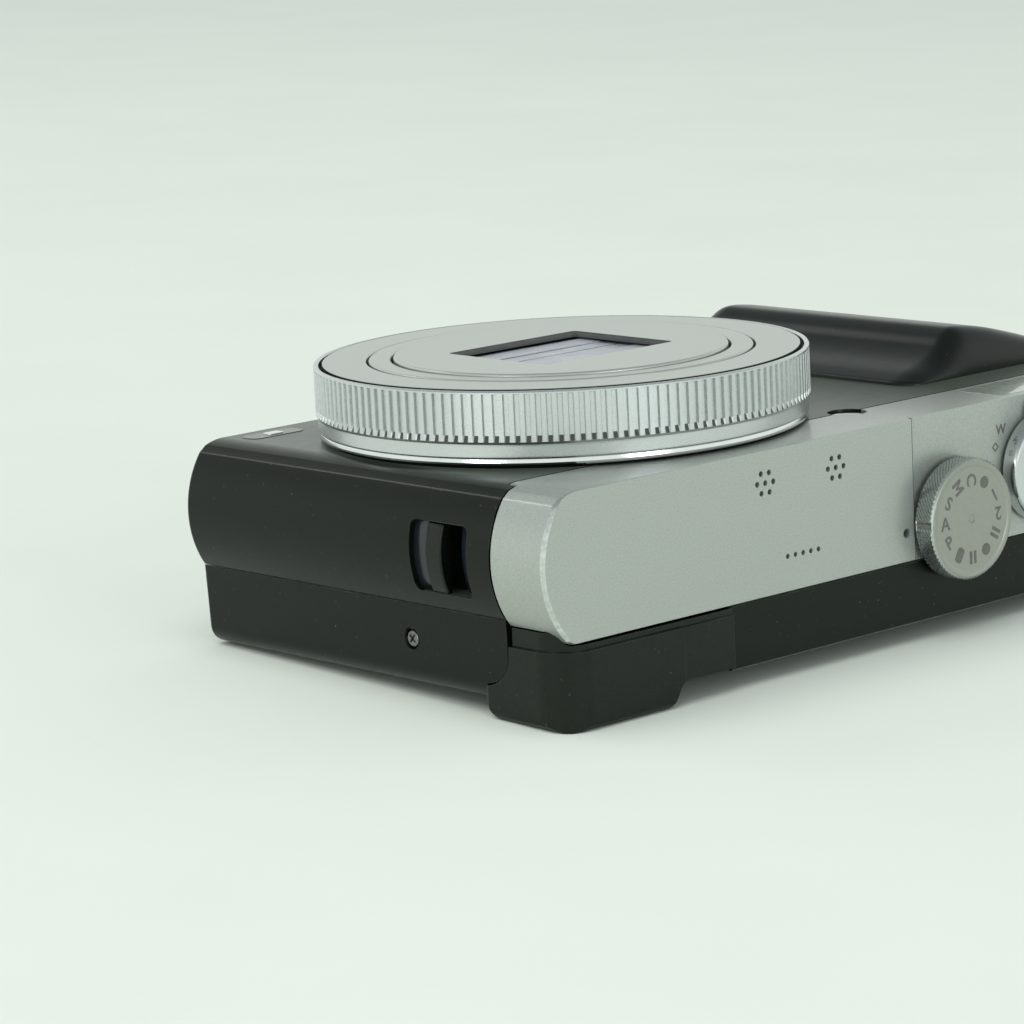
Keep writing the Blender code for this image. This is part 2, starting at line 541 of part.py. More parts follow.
def make_inside():
    x0, y0, x1, y1 = GLASS
    glass = prism("lcd_glass", "Z", rounded(x0, y0, x1, y1, 1.2), 0.0, 0.95)
    finish(glass, (0.01, 0.01, 0.012), 0.06)
    finish(block("lcd_panel", (x0 + 1.5, y0 + 1.5, 1.3), (x1 - 1.5, y1 - 1.5, 3.9)), (0.3, 0.3, 0.32), 0.4)
    finish(block("chassis_frame", (-28.5, -19.5, 4.2), (40.0, 28.5, 5.0)), (0.45, 0.45, 0.45), 0.4, 0.9)
    finish(block("main_board", (-27.0, -19.0, 5.3), (39.5, 28.0, 6.5)), (0.02, 0.09, 0.04), 0.5)
    finish(block("sensor_unit", (-9.0, -8.0, 6.8), (9.0, 8.0, 8.6)), (0.06, 0.05, 0.08), 0.3)
    case = block("battery_case", (44.6, -7.2, 9.6), (70.9, 27.9, 23.5))
    cut(case, block("cut_case_battery", (45.6, -6.0, 13.4), (69.9, 40, 22.7)),
        block("cut_case_card", (46.0, -5.0, 10.3), (69.5, 40, 12.7)))
    finish(case, (0.03, 0.03, 0.03), 0.6)
    finish(block("battery", (45.9, -5.7, 13.7), (69.6, 28.1, 22.4)), (0.05, 0.05, 0.055), 0.5)
    finish(block("memory_card", (46.3, -4.0, 10.6), (69.2, 27.9, 12.4)), (0.04, 0.05, 0.12), 0.45)
    finish(prism("flash_window", "Z", rounded(44.0, -31.2, 60.0, -24.6, 0.8), 23.2, FRONT), (0.7, 0.72, 0.7), 0.1)
    finish(rod("af_lamp", "Z", (25.3, -25.2), 1.9, 22.0, FRONT - 0.1, 20), (0.55, 0.12, 0.06), 0.15, smooth=True)
    finish(rod("flash_capacitor", "X", (-26.4, 14.0), 2.8, 56.0, 70.5, 20), (0.02, 0.02, 0.03), 0.4, smooth=True)
    finish(block("speaker_unit", (2.6, -31.1, 9.6), (10.6, -29.3, 15.0)), (0.1, 0.1, 0.1), 0.5)
    for name, at in MICS.items():
        finish(rod(name, "Y", at, 2.2, -31.2, -29.6, 16), (0.25, 0.25, 0.2), 0.5, smooth=True)
    usb = block("usb_socket", (66.0, -19.8, 13.6), (74.0, -16.6, 20.4))
    cut(usb, block("cut_usb", (68.0, -19.2, 14.2), (80.0, -17.2, 19.8)))
    finish(usb, (0.5, 0.5, 0.5), 0.3, 0.9)
    hdmi = block("hdmi_socket", (66.0, -14.6, 13.6), (74.0, -10.9, 20.4))
    cut(hdmi, block("cut_hdmi", (68.0, -13.9, 14.2), (80.0, -11.6, 19.8)))
    finish(hdmi, (0.5, 0.5, 0.5), 0.3, 0.9)


# ---------------------------------------------------------------- controls

def make_top_controls():
    deck = TOP + DECK_DROP
    x, z = DIAL_AT
    under = TOP - 0.2
    low = TOP - DIAL_HEIGHT
    dial = disc("mode_dial", "Y", DIAL_AT, [(DIAL_RADIUS - 0.45, low), (DIAL_RADIUS, low + 0.4),
                                            (DIAL_RADIUS, under), (2.4, under), (2.4, deck + 2.4)], 40)
    finish(pivot(dial, x, deck, z), SILVER, 0.4, 0.75, smooth=True)
    x, z = SHUTTER_AT
    low = deck - GAP - 2.2
    lever = turned("zoom_lever", "Y", SHUTTER_AT,
                   [(LEVER_INNER, low + 0.3), (LEVER_INNER + 0.3, low), (LEVER_RADIUS - 0.5, low),
                    (LEVER_RADIUS, low + 0.5), (LEVER_RADIUS, deck - GAP), (LEVER_INNER, deck - GAP)], 36)
    join(lever, sections("join_lever", "Y", [
        (low - 0.5, [(x - 2.6, z + 5.8), (x + 2.6, z + 5.8), (x + 1.6, z + 8.9), (x - 1.6, z + 8.9)]),
        (deck - GAP - 0.2, [(x - 2.6, z + 5.8), (x + 2.6, z + 5.8), (x + 1.6, z + 8.5), (x - 1.6, z + 8.5)])]))
    finish(pivot(lever, x, deck, z), SILVER, 0.2, 0.95, smooth=True)
    button = disc("shutter_button", "Y", SHUTTER_AT,
                  [(2.2, low - 0.55), (3.7, low - 0.35), (4.3, low + 0.1), (4.3, deck - 1.5), (3.2, deck - 1.5),
                   (3.2, deck + 1.8)], 28)
    finish(pivot(button, x, deck, z), SILVER, 0.25, 0.9, smooth=True)
    for name, at, radius in (("power_button", POWER_AT, 2.7), ("movie_button", MOVIE_AT, 2.2)):
        button = disc(name, "Y", at, [(radius - 0.3, deck - 0.7), (radius, deck - 0.4), (radius, deck + 2.2)], 24)
        finish(pivot(button, at[0], deck, at[1]), SILVER, 0.3, 0.85, smooth=True)


def make_back_controls():
    for name, (x, y, radius) in BACK_BUTTONS.items():
        proud = -0.6 if y < 0 else -0.15
        button = disc(name, "Z", (x, y), [(radius - 0.25, proud), (radius, proud + 0.25), (radius, 3.0)], 20)
        finish(pivot(button, x, y, 0), BLACK, 0.35, smooth=True)
    x, y = PAD_AT
    pad = turned("cursor_pad", "Z", PAD_AT, [(4.6, -0.3), (4.9, -0.45), (PAD_RADIUS - 0.4, -0.45), (PAD_RADIUS, -0.1),
                                             (PAD_RADIUS, 2.6), (4.6, 2.6)], 40)
    finish(pivot(pad, x, y, 0), BLACK, 0.35, smooth=True)
    centre = disc("set_button", "Z", PAD_AT, [(4.0, -0.4), (4.25, -0.15), (4.25, 3.0)], 28)
    finish(pivot(centre, x, y, 0), BLACK, 0.3, smooth=True)
    rest = prism("thumb_rest", "Z", rounded(50.0, -27.5, 71.0, -14.5, 4.0, 5), -0.75, BACK - GAP)
    finish(rest, (0.018, 0.018, 0.018), 0.85)


def make_doors():
    x, y = DOOR_HINGE
    x0, z0, x1, z1 = DOOR
    door = block("battery_door", (x0, BASE - 1.05, z0), (x1, BASE - 0.05, z1))
    join(door, prism("join_door_knuckle", "Z", circle(x, y, 1.2, 16), z0 + 2.5, z1 - 2.5),
         block("join_door_web", (x + 0.3, BASE - 1.05, z0 + 2.5), (x0 + 1.0, BASE - 0.3, z1 - 2.5)))
    cut(door, rod("cut_door_pin", "Z", DOOR_HINGE, 0.75, 0, 40, 12),
        block("cut_door_latch", (60.7, BASE - 3, 14.1), (69.7, BASE + 3, 17.9)))
    finish(pivot(door, x, y, 0), BLACK, 0.45)
    pin = rod("battery_door_pin", "Z", DOOR_HINGE, 0.45, z0, z1, 12)
    finish(pin, (0.5, 0.5, 0.5), 0.3, 0.9, smooth=True)
    latch = block("door_latch", (64.6, BASE - 1.0, 14.5), (69.3, BASE - 0.15, 17.5))
    finish(latch, (0.06, 0.06, 0.06), 0.5)
    y0, z0, y1, z1 = PORT
    outline = body_outline()
    flap = prism("port_door", "Y", outline, y0, y1)
    cut(flap, prism("cut_port_inside", "Y", inset(outline, 1.1), y0 - 5, y1 + 5))
    keep(flap, block("keep_port_door", (RIGHT - 8, y0 - 1, z0), (RIGHT + 4, y1 + 1, z1)))
    finish(pivot(flap, RIGHT + 0.1, y1 + 0.1, 0), BLACK, 0.5, smooth=True)


def main():
    clear_scene()
    make_front_cover()
    make_rear_cover()
    make_top_cover()
    make_base_parts()
    make_side_screw()
    make_strap_lug()
    make_grip()
    make_viewfinder()
    make_lens()
    make_inside()
    make_top_controls()
    make_back_controls()
    make_doors()


main()
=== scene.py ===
"""Studio model of the compact digital camera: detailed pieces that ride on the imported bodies.

Lengths are in millimetres in the same frame as the CAD: the lens axis is +Z, the screen glass lies at z = 0, the
top plate faces -Y and the grip is at the +X end.
"""
from math import asin, atan2, copysign, cos, hypot, pi, radians, sin, sqrt

import bmesh
import bpy
from mathutils import Matrix, Vector


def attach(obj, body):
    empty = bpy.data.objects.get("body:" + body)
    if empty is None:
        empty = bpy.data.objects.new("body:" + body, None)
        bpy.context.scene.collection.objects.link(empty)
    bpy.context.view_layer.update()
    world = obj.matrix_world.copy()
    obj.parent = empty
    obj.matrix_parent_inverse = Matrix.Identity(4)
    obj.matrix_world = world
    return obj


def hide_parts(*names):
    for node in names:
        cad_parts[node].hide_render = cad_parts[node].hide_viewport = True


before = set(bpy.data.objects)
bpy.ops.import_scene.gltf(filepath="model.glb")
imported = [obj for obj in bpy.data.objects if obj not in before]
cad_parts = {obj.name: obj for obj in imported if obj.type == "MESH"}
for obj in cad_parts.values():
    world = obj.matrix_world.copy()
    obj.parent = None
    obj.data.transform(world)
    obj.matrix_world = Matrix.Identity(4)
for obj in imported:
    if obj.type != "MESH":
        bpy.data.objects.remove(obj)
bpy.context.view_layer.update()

MM = 0.001
SEAM = 0.2                      # visible gap between covers
WALL = 1.3                      # of the covers
BASE_ROLL = 0.7                 # radius of the covers' edge round the base

LEFT, RIGHT = -34.5, 76.2
TOP, BASE = -33.0, 31.0
FRONT, BACK = 25.3, 0.25
SEAM_Z, PLATE_Z, WRAP_Z, CREASE_Z = 10.2, 8.0, 9.5, 24.0
BULGE_RADIUS, BULGE_Z = 12.0, 16.9
WRAP_FRONT_Y, WRAP_SIDE_Y = -23.0, -24.3
DECK_X, DECK_DROP = 25.8, 0.35
DIAL_AT, LEVER_AT = (32.9, 12.3), (48.7, 16.1)
LENS_HOLE = 28.75               # radius
POWER_AT, MOVIE_AT = (64.5, 12.6), (62.0, 20.6)
POWER_RADIUS, MOVIE_RADIUS = 2.7, 2.2
FLASH = (44.0, -31.2, 60.0, -24.2)
SCREEN = (-29.0, -18.5, 36.5, 29.0)
LAMP_AT, LAMP_RADIUS = (25.2, -23.1), 2.2
PAD_AT = (57.0, 7.0)
STRAP = (-20.3, 12.2, -10.5, 20.6)
SCREW_AT = (-7.5, 5.8)
PORT = (-21.0, 12.4, -9.5, 21.6)
DOOR = (45.4, 8.6, 72.0, 23.4)
DOOR_HINGE, DOOR_GAP_X = (44.2, 29.7), 42.8
TRIPOD_AT = (22.0, 12.5)
BASE_SCREWS = {"base_screw_left": (-20.0, 12.5), "base_screw_right": (34.0, 12.5)}
BASE_PLATE = (-24.0, 4.0, 38.0, 21.0)
GRIP_TOP, GRIP_BOTTOM = -17.2, 29.6
GRIP_SECTION = ((43.0, 0.3), (45.0, 1.2), (48.6, 2.3), (50.8, 3.5), (52.2, 4.9), (53.8, 5.8), (56.5, 5.7),
                (60.4, 5.0), (65.0, 3.8), (70.0, 2.3), (73.6, 1.0))

AXES = {"X": (1, 2, 0), "Y": (0, 2, 1), "Z": (0, 1, 2)}


def linked(name, data):
    obj = bpy.data.objects.new(name, data)
    bpy.context.scene.collection.objects.link(obj)
    return obj


# ---- camera, floor and light

def make_camera():
    """Long lens looking down a little at the corner between the top plate and the left end."""
    azimuth, elevation, roll = (radians(a) for a in (-41.686, 10.695, -2.832))
    back = Vector((sin(azimuth) * cos(elevation), -cos(azimuth) * cos(elevation),
                   sin(elevation)))
    level = Vector((cos(azimuth), sin(azimuth), 0))
    upright = back.cross(level)
    right = level * cos(roll) + upright * sin(roll)
    up = -level * sin(roll) + upright * cos(roll)
    lens = bpy.data.cameras.new("camera")
    lens.sensor_width = 36.0
    lens.lens = 143.1
    lens.clip_start, lens.clip_end = 0.01, 50
    camera = linked("camera", lens)
    turn = Matrix((right, up, back)).transposed().to_4x4()
    camera.matrix_world = Matrix.Translation(Vector((-328.03, -358.09, 106.68)) * MM) @ turn
    bpy.context.scene.camera = camera


def make_stage():
    """A wide pale floor that the camera rests on by its viewfinder and the screen's lower edge."""
    half = 1900.0
    low_y, low_z, slope = -31.8, -2.12, 2.085 / 61.0
    corners = [(x * half, y * half, low_z + (y * half - low_y) * slope)
               for x, y in ((-1, -1), (1, -1), (1, 1), (-1, 1))]
    mesh = bpy.data.meshes.new("floor")
    mesh.from_pydata([[c * MM for c in p] for p in corners], [], [(0, 1, 2, 3)])
    floor = linked("floor", mesh)
    mesh.materials.append(surface("floor_paper", (0.80, 0.845, 0.785), 0.9, mottle=0.012, mottle_size=40,
                                  grain=1.2, depth=0.01, specular=0.15))
    world = bpy.data.worlds.new("studio")
    bpy.context.scene.world = world
    world.use_nodes = True
    tree = world.node_tree
    ramp = tree.nodes.new("ShaderNodeValToRGB")
    height = added(tree, "SeparateXYZ", added(tree, "TexCoord", out="Generated"), out="Z")
    tree.links.new(height, ramp.inputs[0])
    steps = ramp.color_ramp.elements
    steps[0].position, steps[0].color = 0.0, (0.92, 0.97, 0.92, 1)
    steps[1].position, steps[1].color = 1.0, (0.26, 0.28, 0.29, 1)
    steps.new(0.3).color = (0.88, 0.93, 0.90, 1)
    steps.new(0.62).color = (0.42, 0.45, 0.45, 1)
    tree.links.new(ramp.outputs[0], tree.nodes["Background"].inputs[0])
    for name, place, size, power, colour, shiny in (
            ("overhead", (-0.7, -0.1, 1.6), 2.0, 22, (0.98, 1.0, 0.97), False),
            ("window_front", (-0.12, -1.45, 0.30), 0.45, 2.6, (0.92, 0.97, 1.0), True),
            ("window_end", (-1.45, -0.26, 0.24), 0.40, 1.7, (0.97, 1.0, 0.98), True),
            ("lamp_behind", (-0.33, 1.10, 0.96), 0.26, 1.0, (1.0, 1.0, 0.97), True)):
        light = bpy.data.lights.new(name, "AREA")
        light.size, light.energy, light.color = size, power, colour
        lamp = linked(name, light)
        lamp.visible_glossy = shiny
        lamp.location = place
        lamp.rotation_euler = (-Vector(place)).to_track_quat("-Z", "Y").to_euler()


# ---- materials

def added(tree, kind, *values, operation=None, out=0):
    """A new node's output, with each of its first inputs linked or set."""
    node = tree.nodes.new("ShaderNode" + kind)
    if operation:
        node.operation = operation
    for socket, value in zip(node.inputs, values):
        if isinstance(value, bpy.types.NodeSocket):
            tree.links.new(value, socket)
        else:
            socket.default_value = value
    return node.outputs[out]


def noise(tree, coord, size, detail=2.0):
    node = tree.nodes.new("ShaderNodeTexNoise")
    node.inputs["Scale"].default_value = 1 / (size * MM)
    node.inputs["Detail"].default_value = detail
    tree.links.new(coord, node.inputs["Vector"])
    return node.outputs[0]


def ranged(tree, value, low, high, start=0.3, end=0.7):
    return added(tree, "MapRange", value, start, end, low, high)


def blended(tree, factor, first, second):
    """A colour between two, each a colour or another node's output."""
    node = tree.nodes.new("ShaderNodeMix")
    node.data_type = "RGBA"
    tree.links.new(factor, node.inputs[0])
    for socket, colour in ((node.inputs[6], first), (node.inputs[7], second)):
        if isinstance(colour, tuple):
            socket.default_value = (*colour, 1)
        else:
            tree.links.new(colour, socket)
    return node.outputs[2]


def surface(name, colour, rough, metal=0.0, mottle=0.1, mottle_size=3.0, grain=0.15, depth=0.004, rough_spread=0.05,
            specular=0.5, coat=0.0, gloss=0.03, sheen=0.0, wear=None, dust=0.0, grime=None, turned=None):
    """A procedural finish: mottled colour, uneven roughness, a fine grain and, where asked, wear, dust or a painted
    shade in the hollows.

    turned is (axis letter, centre, pitch, depth) for fine circular tool marks.
    """
    material = bpy.data.materials.new(name)
    material.use_nodes = True
    tree = material.node_tree
    shader = tree.nodes["Principled BSDF"]
    coord = added(tree, "TexCoord", out="Object")
    dark = tuple(c * (1 - mottle) for c in colour)
    light = tuple(min(c * (1 + mottle), 1) for c in colour)
    tint = blended(tree, ranged(tree, noise(tree, coord, mottle_size, 4), 0, 1), dark, light)
    if dust:
        spots = ranged(tree, noise(tree, coord, 0.5, 6), 0, dust, 0.69, 0.76)
        tint = blended(tree, spots, tint, (0.33, 0.34, 0.32))
    if wear:
        rounded_off = tree.nodes.new("ShaderNodeBevel")
        rounded_off.samples = 4
        rounded_off.inputs["Radius"].default_value = 0.22 * MM
        normal = added(tree, "NewGeometry", out="Normal")
        facing = added(tree, "VectorMath", rounded_off.outputs[0], normal, operation="DOT_PRODUCT", out="Value")
        edge = ranged(tree, facing, 1, 0, 0.86, 0.97)
        patch = ranged(tree, noise(tree, coord, 4.0, 5), 0, 0.7, 0.42, 0.62)
        tint = blended(tree, added(tree, "Math", edge, patch, operation="MULTIPLY"), tint, wear)
    # Painted shade: the hollows found by pointiness are darkened as if shade fell in them.
    if grime:
        point = added(tree, "NewGeometry", out="Pointiness")
        tint = blended(tree, ranged(tree, point, 1, 0, 0.40, 0.50), tint, grime)
    tree.links.new(tint, shader.inputs["Base Color"])
    uneven = ranged(tree, noise(tree, coord, mottle_size * 0.7, 5), rough - rough_spread, rough + rough_spread)
    tree.links.new(uneven, shader.inputs["Roughness"])
    height = noise(tree, coord, grain, 2)
    if turned:
        letter, centre, pitch, line_depth = turned
        place = [c * MM for c in placed(letter, *centre, 0.0)]
        across = [0.0 if letter == axis else 1.0 for axis in "XYZ"]
        offset = added(tree, "VectorMath", coord, place, operation="SUBTRACT")
        flat = added(tree, "VectorMath", offset, across, operation="MULTIPLY")
        length = added(tree, "VectorMath", flat, operation="LENGTH", out="Value")
        phase = added(tree, "Math", length, 2 * pi / (pitch * MM), operation="MULTIPLY")
        wave = added(tree, "Math", phase, operation="SINE")
        height = added(tree, "Math", wave, line_depth / depth, height, operation="MULTIPLY_ADD")
    bump = tree.nodes.new("ShaderNodeBump")
    bump.inputs["Distance"].default_value = depth * MM
    bump.inputs["Strength"].default_value = 1.0
    tree.links.new(height, bump.inputs["Height"])
    tree.links.new(bump.outputs[0], shader.inputs["Normal"])
    for socket, value in (("Metallic", metal), ("Specular IOR Level", specular), ("Coat Weight", coat),
                          ("Coat Roughness", gloss), ("Sheen Weight", sheen), ("Sheen Roughness", 0.25),
                          ("Sheen Tint", (0.85, 1.0, 0.85, 1.0))):
        shader.inputs[socket].default_value = value
    return material


BLACK = (0.0010, 0.0036, 0.0010)
SILVER = (0.44, 0.468, 0.437)
RING_METAL = (0.63, 0.66, 0.66)


# Each look is its material's name, colour, roughness, metal, mottle and its size, grain and its depth, then the rest.
LOOKS = {
    "paint": ("black_paint", BLACK, 0.34, 0, 0.12, 3, 0.14, 0.006,
        dict(rough_spread=0.02, specular=0.1, coat=0.29, gloss=0.2, sheen=0.3, wear=(0.05, 0.055, 0.05), dust=0.2)),
    "evf": ("viewfinder_black", (0.001, 0.004, 0.001), 0.27, 0, 0.1, 3, 0.12, 0.004,
        dict(rough_spread=0.02, specular=0.32, wear=(0.04, 0.045, 0.04), dust=0.15)),
    "grip": ("grip_black", (0.002, 0.005, 0.003), 0.3, 0, 0.1, 3, 0.16, 0.006,
        dict(rough_spread=0.02, specular=0.38, dust=0.15)),
    "silver": ("silver_paint", SILVER, 0.43, 0.72, 0.12, 0.2, 0.12, 0.005, dict(coat=0.5, gloss=0.15, dust=0.06)),
    "cut": ("cut_edge", (0.6, 0.64, 0.61), 0.34, 0.9, 0.16, 0.5, 0.2, 0.008),
    "ring": ("ring_metal", RING_METAL, 0.3, 0.92, 0.04, 0.15, 0.09, 0.003),
    "lip": ("polished_lip", (0.78, 0.8, 0.8), 0.12, 1, 0.03, 3, 0.2, 0.002, dict(rough_spread=0.03)),
    "bezel": ("bezel_silver", (0.57, 0.595, 0.56), 0.36, 0.8, 0.04, 0.13, 0.1, 0.003),
    "barrel": ("barrel_black", (0.03, 0.032, 0.032), 0.4, 0.2, 0.1, 3, 0.2, 0.003,
        dict(turned=("Z", (0, 0), 0.3, 0.003))),
    "dial": ("dial_metal", (0.36, 0.37, 0.335), 0.36, 0.85, 0.04, 0.3, 0.1, 0.002,
        dict(turned=("Y", DIAL_AT, 0.11, 0.002))),
    # The knurl's hollows get a painted shade, darker than the knurl itself.
    "knurl": ("dial_knurl", (0.56, 0.6, 0.58), 0.28, 0.9, 0.06, 0.3, 0.1, 0.002, dict(grime=(0.24, 0.26, 0.25))),
    # The slot walls are a little darker than the ring and rougher: the darkening is painted shade between the ribs.
    "groove_shade": ("slot_wall", (0.61, 0.64, 0.64), 0.4, 0.9, 0.1, 0.3, 0.1, 0.002),
    # Very dark metal for the slots' run-out slopes: a painted dark reflection that stands in for the dim sky they
    # face.
    "slope": ("slot_slope", (0.13, 0.14, 0.135), 0.35, 0.9, 0.1, 0.3, 0.1, 0.002),
    "chrome": ("lever_chrome", (0.68, 0.7, 0.71), 0.13, 1, 0.03, 3, 0.2, 0.001, dict(rough_spread=0.04)),
    "shutter": ("shutter_metal", (0.6, 0.61, 0.6), 0.24, 0.95, 0.03, 3, 0.1, 0.001,
        dict(turned=("Y", LEVER_AT, 0.12, 0.002))),
    "power": ("power_metal", (0.52, 0.54, 0.52), 0.28, 0.9, 0.03, 3, 0.1, 0.001,
        dict(turned=("Y", POWER_AT, 0.12, 0.002))),
    "steel": ("plain_steel", (0.42, 0.42, 0.41), 0.32, 1, 0.12, 3, 0.2, 0.002),
    "screw": ("blackened_screw", (0.2, 0.2, 0.19), 0.3, 0.9, 0.2, 0.6, 0.1, 0.003, dict(wear=(0.3, 0.3, 0.29))),
    "nickel": ("nickel_plate", (0.58, 0.55, 0.48), 0.25, 1, 0.08, 3, 0.25, 0.002),
    "blade": ("shutter_leaf", (0.46, 0.47, 0.54), 0.3, 0.9, 0.04, 4, 0.4, 0.001),
    "tunnel": ("window_frame", (0.02, 0.022, 0.022), 0.38, 0, 0.1, 3, 0.12, 0.003),
    "void": ("matt_black", (0.006, 0.006, 0.006), 0.85, 0, 0.1, 3, 0.3, 0.01, dict(specular=0.2)),
    "rubber": ("soft_rubber", (0.016, 0.016, 0.016), 0.72, 0, 0.1, 3, 0.25, 0.015, dict(specular=0.3, dust=0.3)),
    "button": ("button_black", (0.02, 0.021, 0.02), 0.34, 0, 0.1, 3, 0.15, 0.003, dict(wear=(0.08, 0.08, 0.08))),
    "glass": ("screen_glass", (0.006, 0.006, 0.008), 0.05, 0, 0.2, 3, 6, 0.001, dict(rough_spread=0.02, coat=0.5)),
    "lens": ("coated_lens", (0.03, 0.022, 0.05), 0.02, 0, 0.5, 9, 9, 0.001,
        dict(rough_spread=0.01, specular=0.9, coat=1)),
    "eyepiece": ("eyepiece_glass", (0.02, 0.022, 0.035), 0.04, 0, 0.2, 3, 6, 0.001, dict(rough_spread=0.01, coat=0.6)),
    "flash": ("flash_lens", (0.3, 0.345, 0.29), 0.16, 0, 0.35, 0.5, 0.7, 0.06, dict(rough_spread=0.05, coat=0.8)),
    "amber": ("lamp_amber", (0.42, 0.11, 0.06), 0.12, 0, 0.15, 3, 0.8, 0.02, dict(coat=0.8)),
    "smoke": ("smoked_lens", (0.03, 0.014, 0.012), 0.1, 0, 0.15, 3, 0.8, 0.02, dict(coat=0.6)),
    "plaque": ("gloss_black", (0.006, 0.007, 0.006), 0.14, 0, 0.15, 3, 0.3, 0.002),
    "panel": ("recess_panel", (0.012, 0.014, 0.02), 0.22, 0, 0.15, 3, 0.3, 0.003, dict(specular=0.6)),
    "ink": ("grey_ink", (0.13, 0.13, 0.12), 0.6, 0, 0.15, 0.5, 0.1, 0.002),
    "white_ink": ("pale_ink", (0.5, 0.5, 0.48), 0.6, 0, 0.1, 0.5, 0.1, 0.002),
    "board": ("solder_mask", (0.02, 0.1, 0.04), 0.4, 0, 0.3, 1.5, 0.5, 0.02),
    "inner": ("moulded_black", (0.03, 0.03, 0.03), 0.55, 0, 0.1, 3, 0.2, 0.006),
    "aluminium": ("pressed_sheet", (0.5, 0.5, 0.5), 0.4, 0.9, 0.1, 3, 0.3, 0.004),
    "label": ("battery_shell", (0.045, 0.045, 0.05), 0.45, 0, 0.1, 3, 0.2, 0.004),
    "card": ("card_shell", (0.03, 0.05, 0.13), 0.45, 0, 0.1, 3, 0.2, 0.004),
    "sleeve": ("capacitor_sleeve", (0.02, 0.02, 0.035), 0.25, 0, 0.2, 3, 0.3, 0.003),
    "felt": ("microphone_mesh", (0.22, 0.22, 0.19), 0.5, 0.6, 0.2, 0.4, 0.2, 0.02),
}
M = {}


def make_materials():
    for look, row in LOOKS.items():
        M[look] = surface(*row[:8], **dict(*row[8:]))


# ---- outlines

def polar(centre, radius, angle):
    return centre[0] + radius * cos(angle), centre[1] + radius * sin(angle)


def arc(a, b, c, steps):
    """The circular arc through three points."""
    (ax, ay), (bx, by), (cx, cy) = a, b, c
    d = 2 * (ax * (by - cy) + bx * (cy - ay) + cx * (ay - by))
    aa, bb, cc = ax * ax + ay * ay, bx * bx + by * by, cx * cx + cy * cy
    ux = (aa * (by - cy) + bb * (cy - ay) + cc * (ay - by)) / d
    uy = (aa * (cx - bx) + bb * (ax - cx) + cc * (bx - ax)) / d
    start = atan2(ay - uy, ax - ux)
    turn = atan2(cy - uy, cx - ux) - start
    turn = (turn + pi) % (2 * pi) - pi
    radius = hypot(ax - ux, ay - uy)
    return [polar((ux, uy), radius, start + turn * i / steps) for i in range(steps + 1)]


def circle(cx, cy, radius, count):
    return [polar((cx, cy), radius, 2 * pi * i / count) for i in range(count)]


def rounded(x0, y0, x1, y1, radius, steps=8):
    corners = ((x1 - radius, y1 - radius, 0), (x0 + radius, y1 - radius, 90),
               (x0 + radius, y0 + radius, 180), (x1 - radius, y0 + radius, 270))
    return [polar((cx, cy), radius, radians(start + 90 * i / steps))
            for cx, cy, start in corners for i in range(steps + 1)]


def grown(box, by, radius):
    """A rounded outline that stands off a box (x0, y0, x1, y1) all round."""
    x0, y0, x1, y1 = box
    return rounded(x0 - by, y0 - by, x1 + by, y1 + by, radius)


def inset(points, distance):
    """The outline moved inwards by a distance, or by one distance for each point."""
    count = len(points)
    amounts = distance if isinstance(distance, list) else [distance] * count
    area = sum(points[i][0] * points[(i + 1) % count][1] - points[(i + 1) % count][0] * points[i][1]
               for i in range(count))
    moved = []
    for i, point in enumerate(points):
        before, after = Vector(points[i - 1]), Vector(points[(i + 1) % count])
        here = Vector(point)
        first, second = (here - before).normalized(), (after - here).normalized()
        normal = Vector((-first.y - second.y, first.x + second.x))
        scale = amounts[i] * copysign(1, area) / max(normal.length_squared / 2, 0.2)
        moved.append((here.x + normal.x * scale, here.y + normal.y * scale))
    return moved


def bulge(z0, z1, steps):
    first, last = (asin((z - BULGE_Z) / BULGE_RADIUS) for z in (z0, z1))
    angles = [first + (last - first) * i / steps for i in range(steps + 1)]
    return [(LEFT + BULGE_RADIUS * (1 - cos(a)), BULGE_Z + BULGE_RADIUS * sin(a)) for a in angles]


def front_corner():
    """Soft turn off the front face and a flatter band down to the crease above the bulge."""
    x, z = bulge(CREASE_Z, SEAM_Z, 1)[0]
    band = arc((LEFT + 6.0, FRONT), (LEFT + 4.35, FRONT - 0.2), (LEFT + 3.25, FRONT - 0.56), 12)
    run = Vector(band[-1]) - Vector((x, z))
    return band + [(x + run.x * k, z + run.y * k) for k in (0.14, 0.0)]


def end_bulge(low, steps):
    """The round end below the crease, with a short first step that keeps the crease tight."""
    return bulge(CREASE_Z, CREASE_Z - 0.14, 1)[1:] + bulge(CREASE_Z - 0.14, low, steps)[1:]


def back_corner(steps):
    return arc((LEFT + 2.4, BACK + 2.3), (LEFT + 3.1, BACK + 0.65), (LEFT + 4.7, BACK), steps)


def mirrored(chain):
    return chain + [(LEFT + RIGHT - x, z) for x, z in reversed(chain)]


def body_outline():
    return mirrored(front_corner() + end_bulge(SEAM_Z, 30) + back_corner(12))


def top_outline():
    side = end_bulge(PLATE_Z + 0.8, 40)
    x, z = side[-1]
    return mirrored(front_corner() + side + arc((x, z), (x + 0.72, PLATE_Z + 0.19), (x + 1.5, PLATE_Z), 8)[1:])


def inner_body(wall):
    """The inside of the body's wall, without the small radii of the outside."""
    chain = [(LEFT + 5.6, FRONT)] + bulge(CREASE_Z, SEAM_Z, 12) + back_corner(6)
    return inset(mirrored(chain), wall)


def inner_top(wall):
    return inset(mirrored([(LEFT + 5.6, FRONT)] + bulge(CREASE_Z, PLATE_Z, 8)), wall)


# ---- solids

def put(name, verts, faces):
    mesh = bpy.data.meshes.new(name)
    mesh.from_pydata([[c * MM for c in v] for v in verts], [], faces)
    form = bmesh.new()
    form.from_mesh(mesh)
    bmesh.ops.recalc_face_normals(form, faces=form.faces)
    form.to_mesh(mesh)
    form.free()
    return linked(name, mesh)


def placed(axis, a, b, place):
    """The point (a, b) of an outline, at a place on its axis."""
    point = [0.0, 0.0, 0.0]
    for i, value in zip(AXES[axis], (a, b, place)):
        point[i] = value
    return point


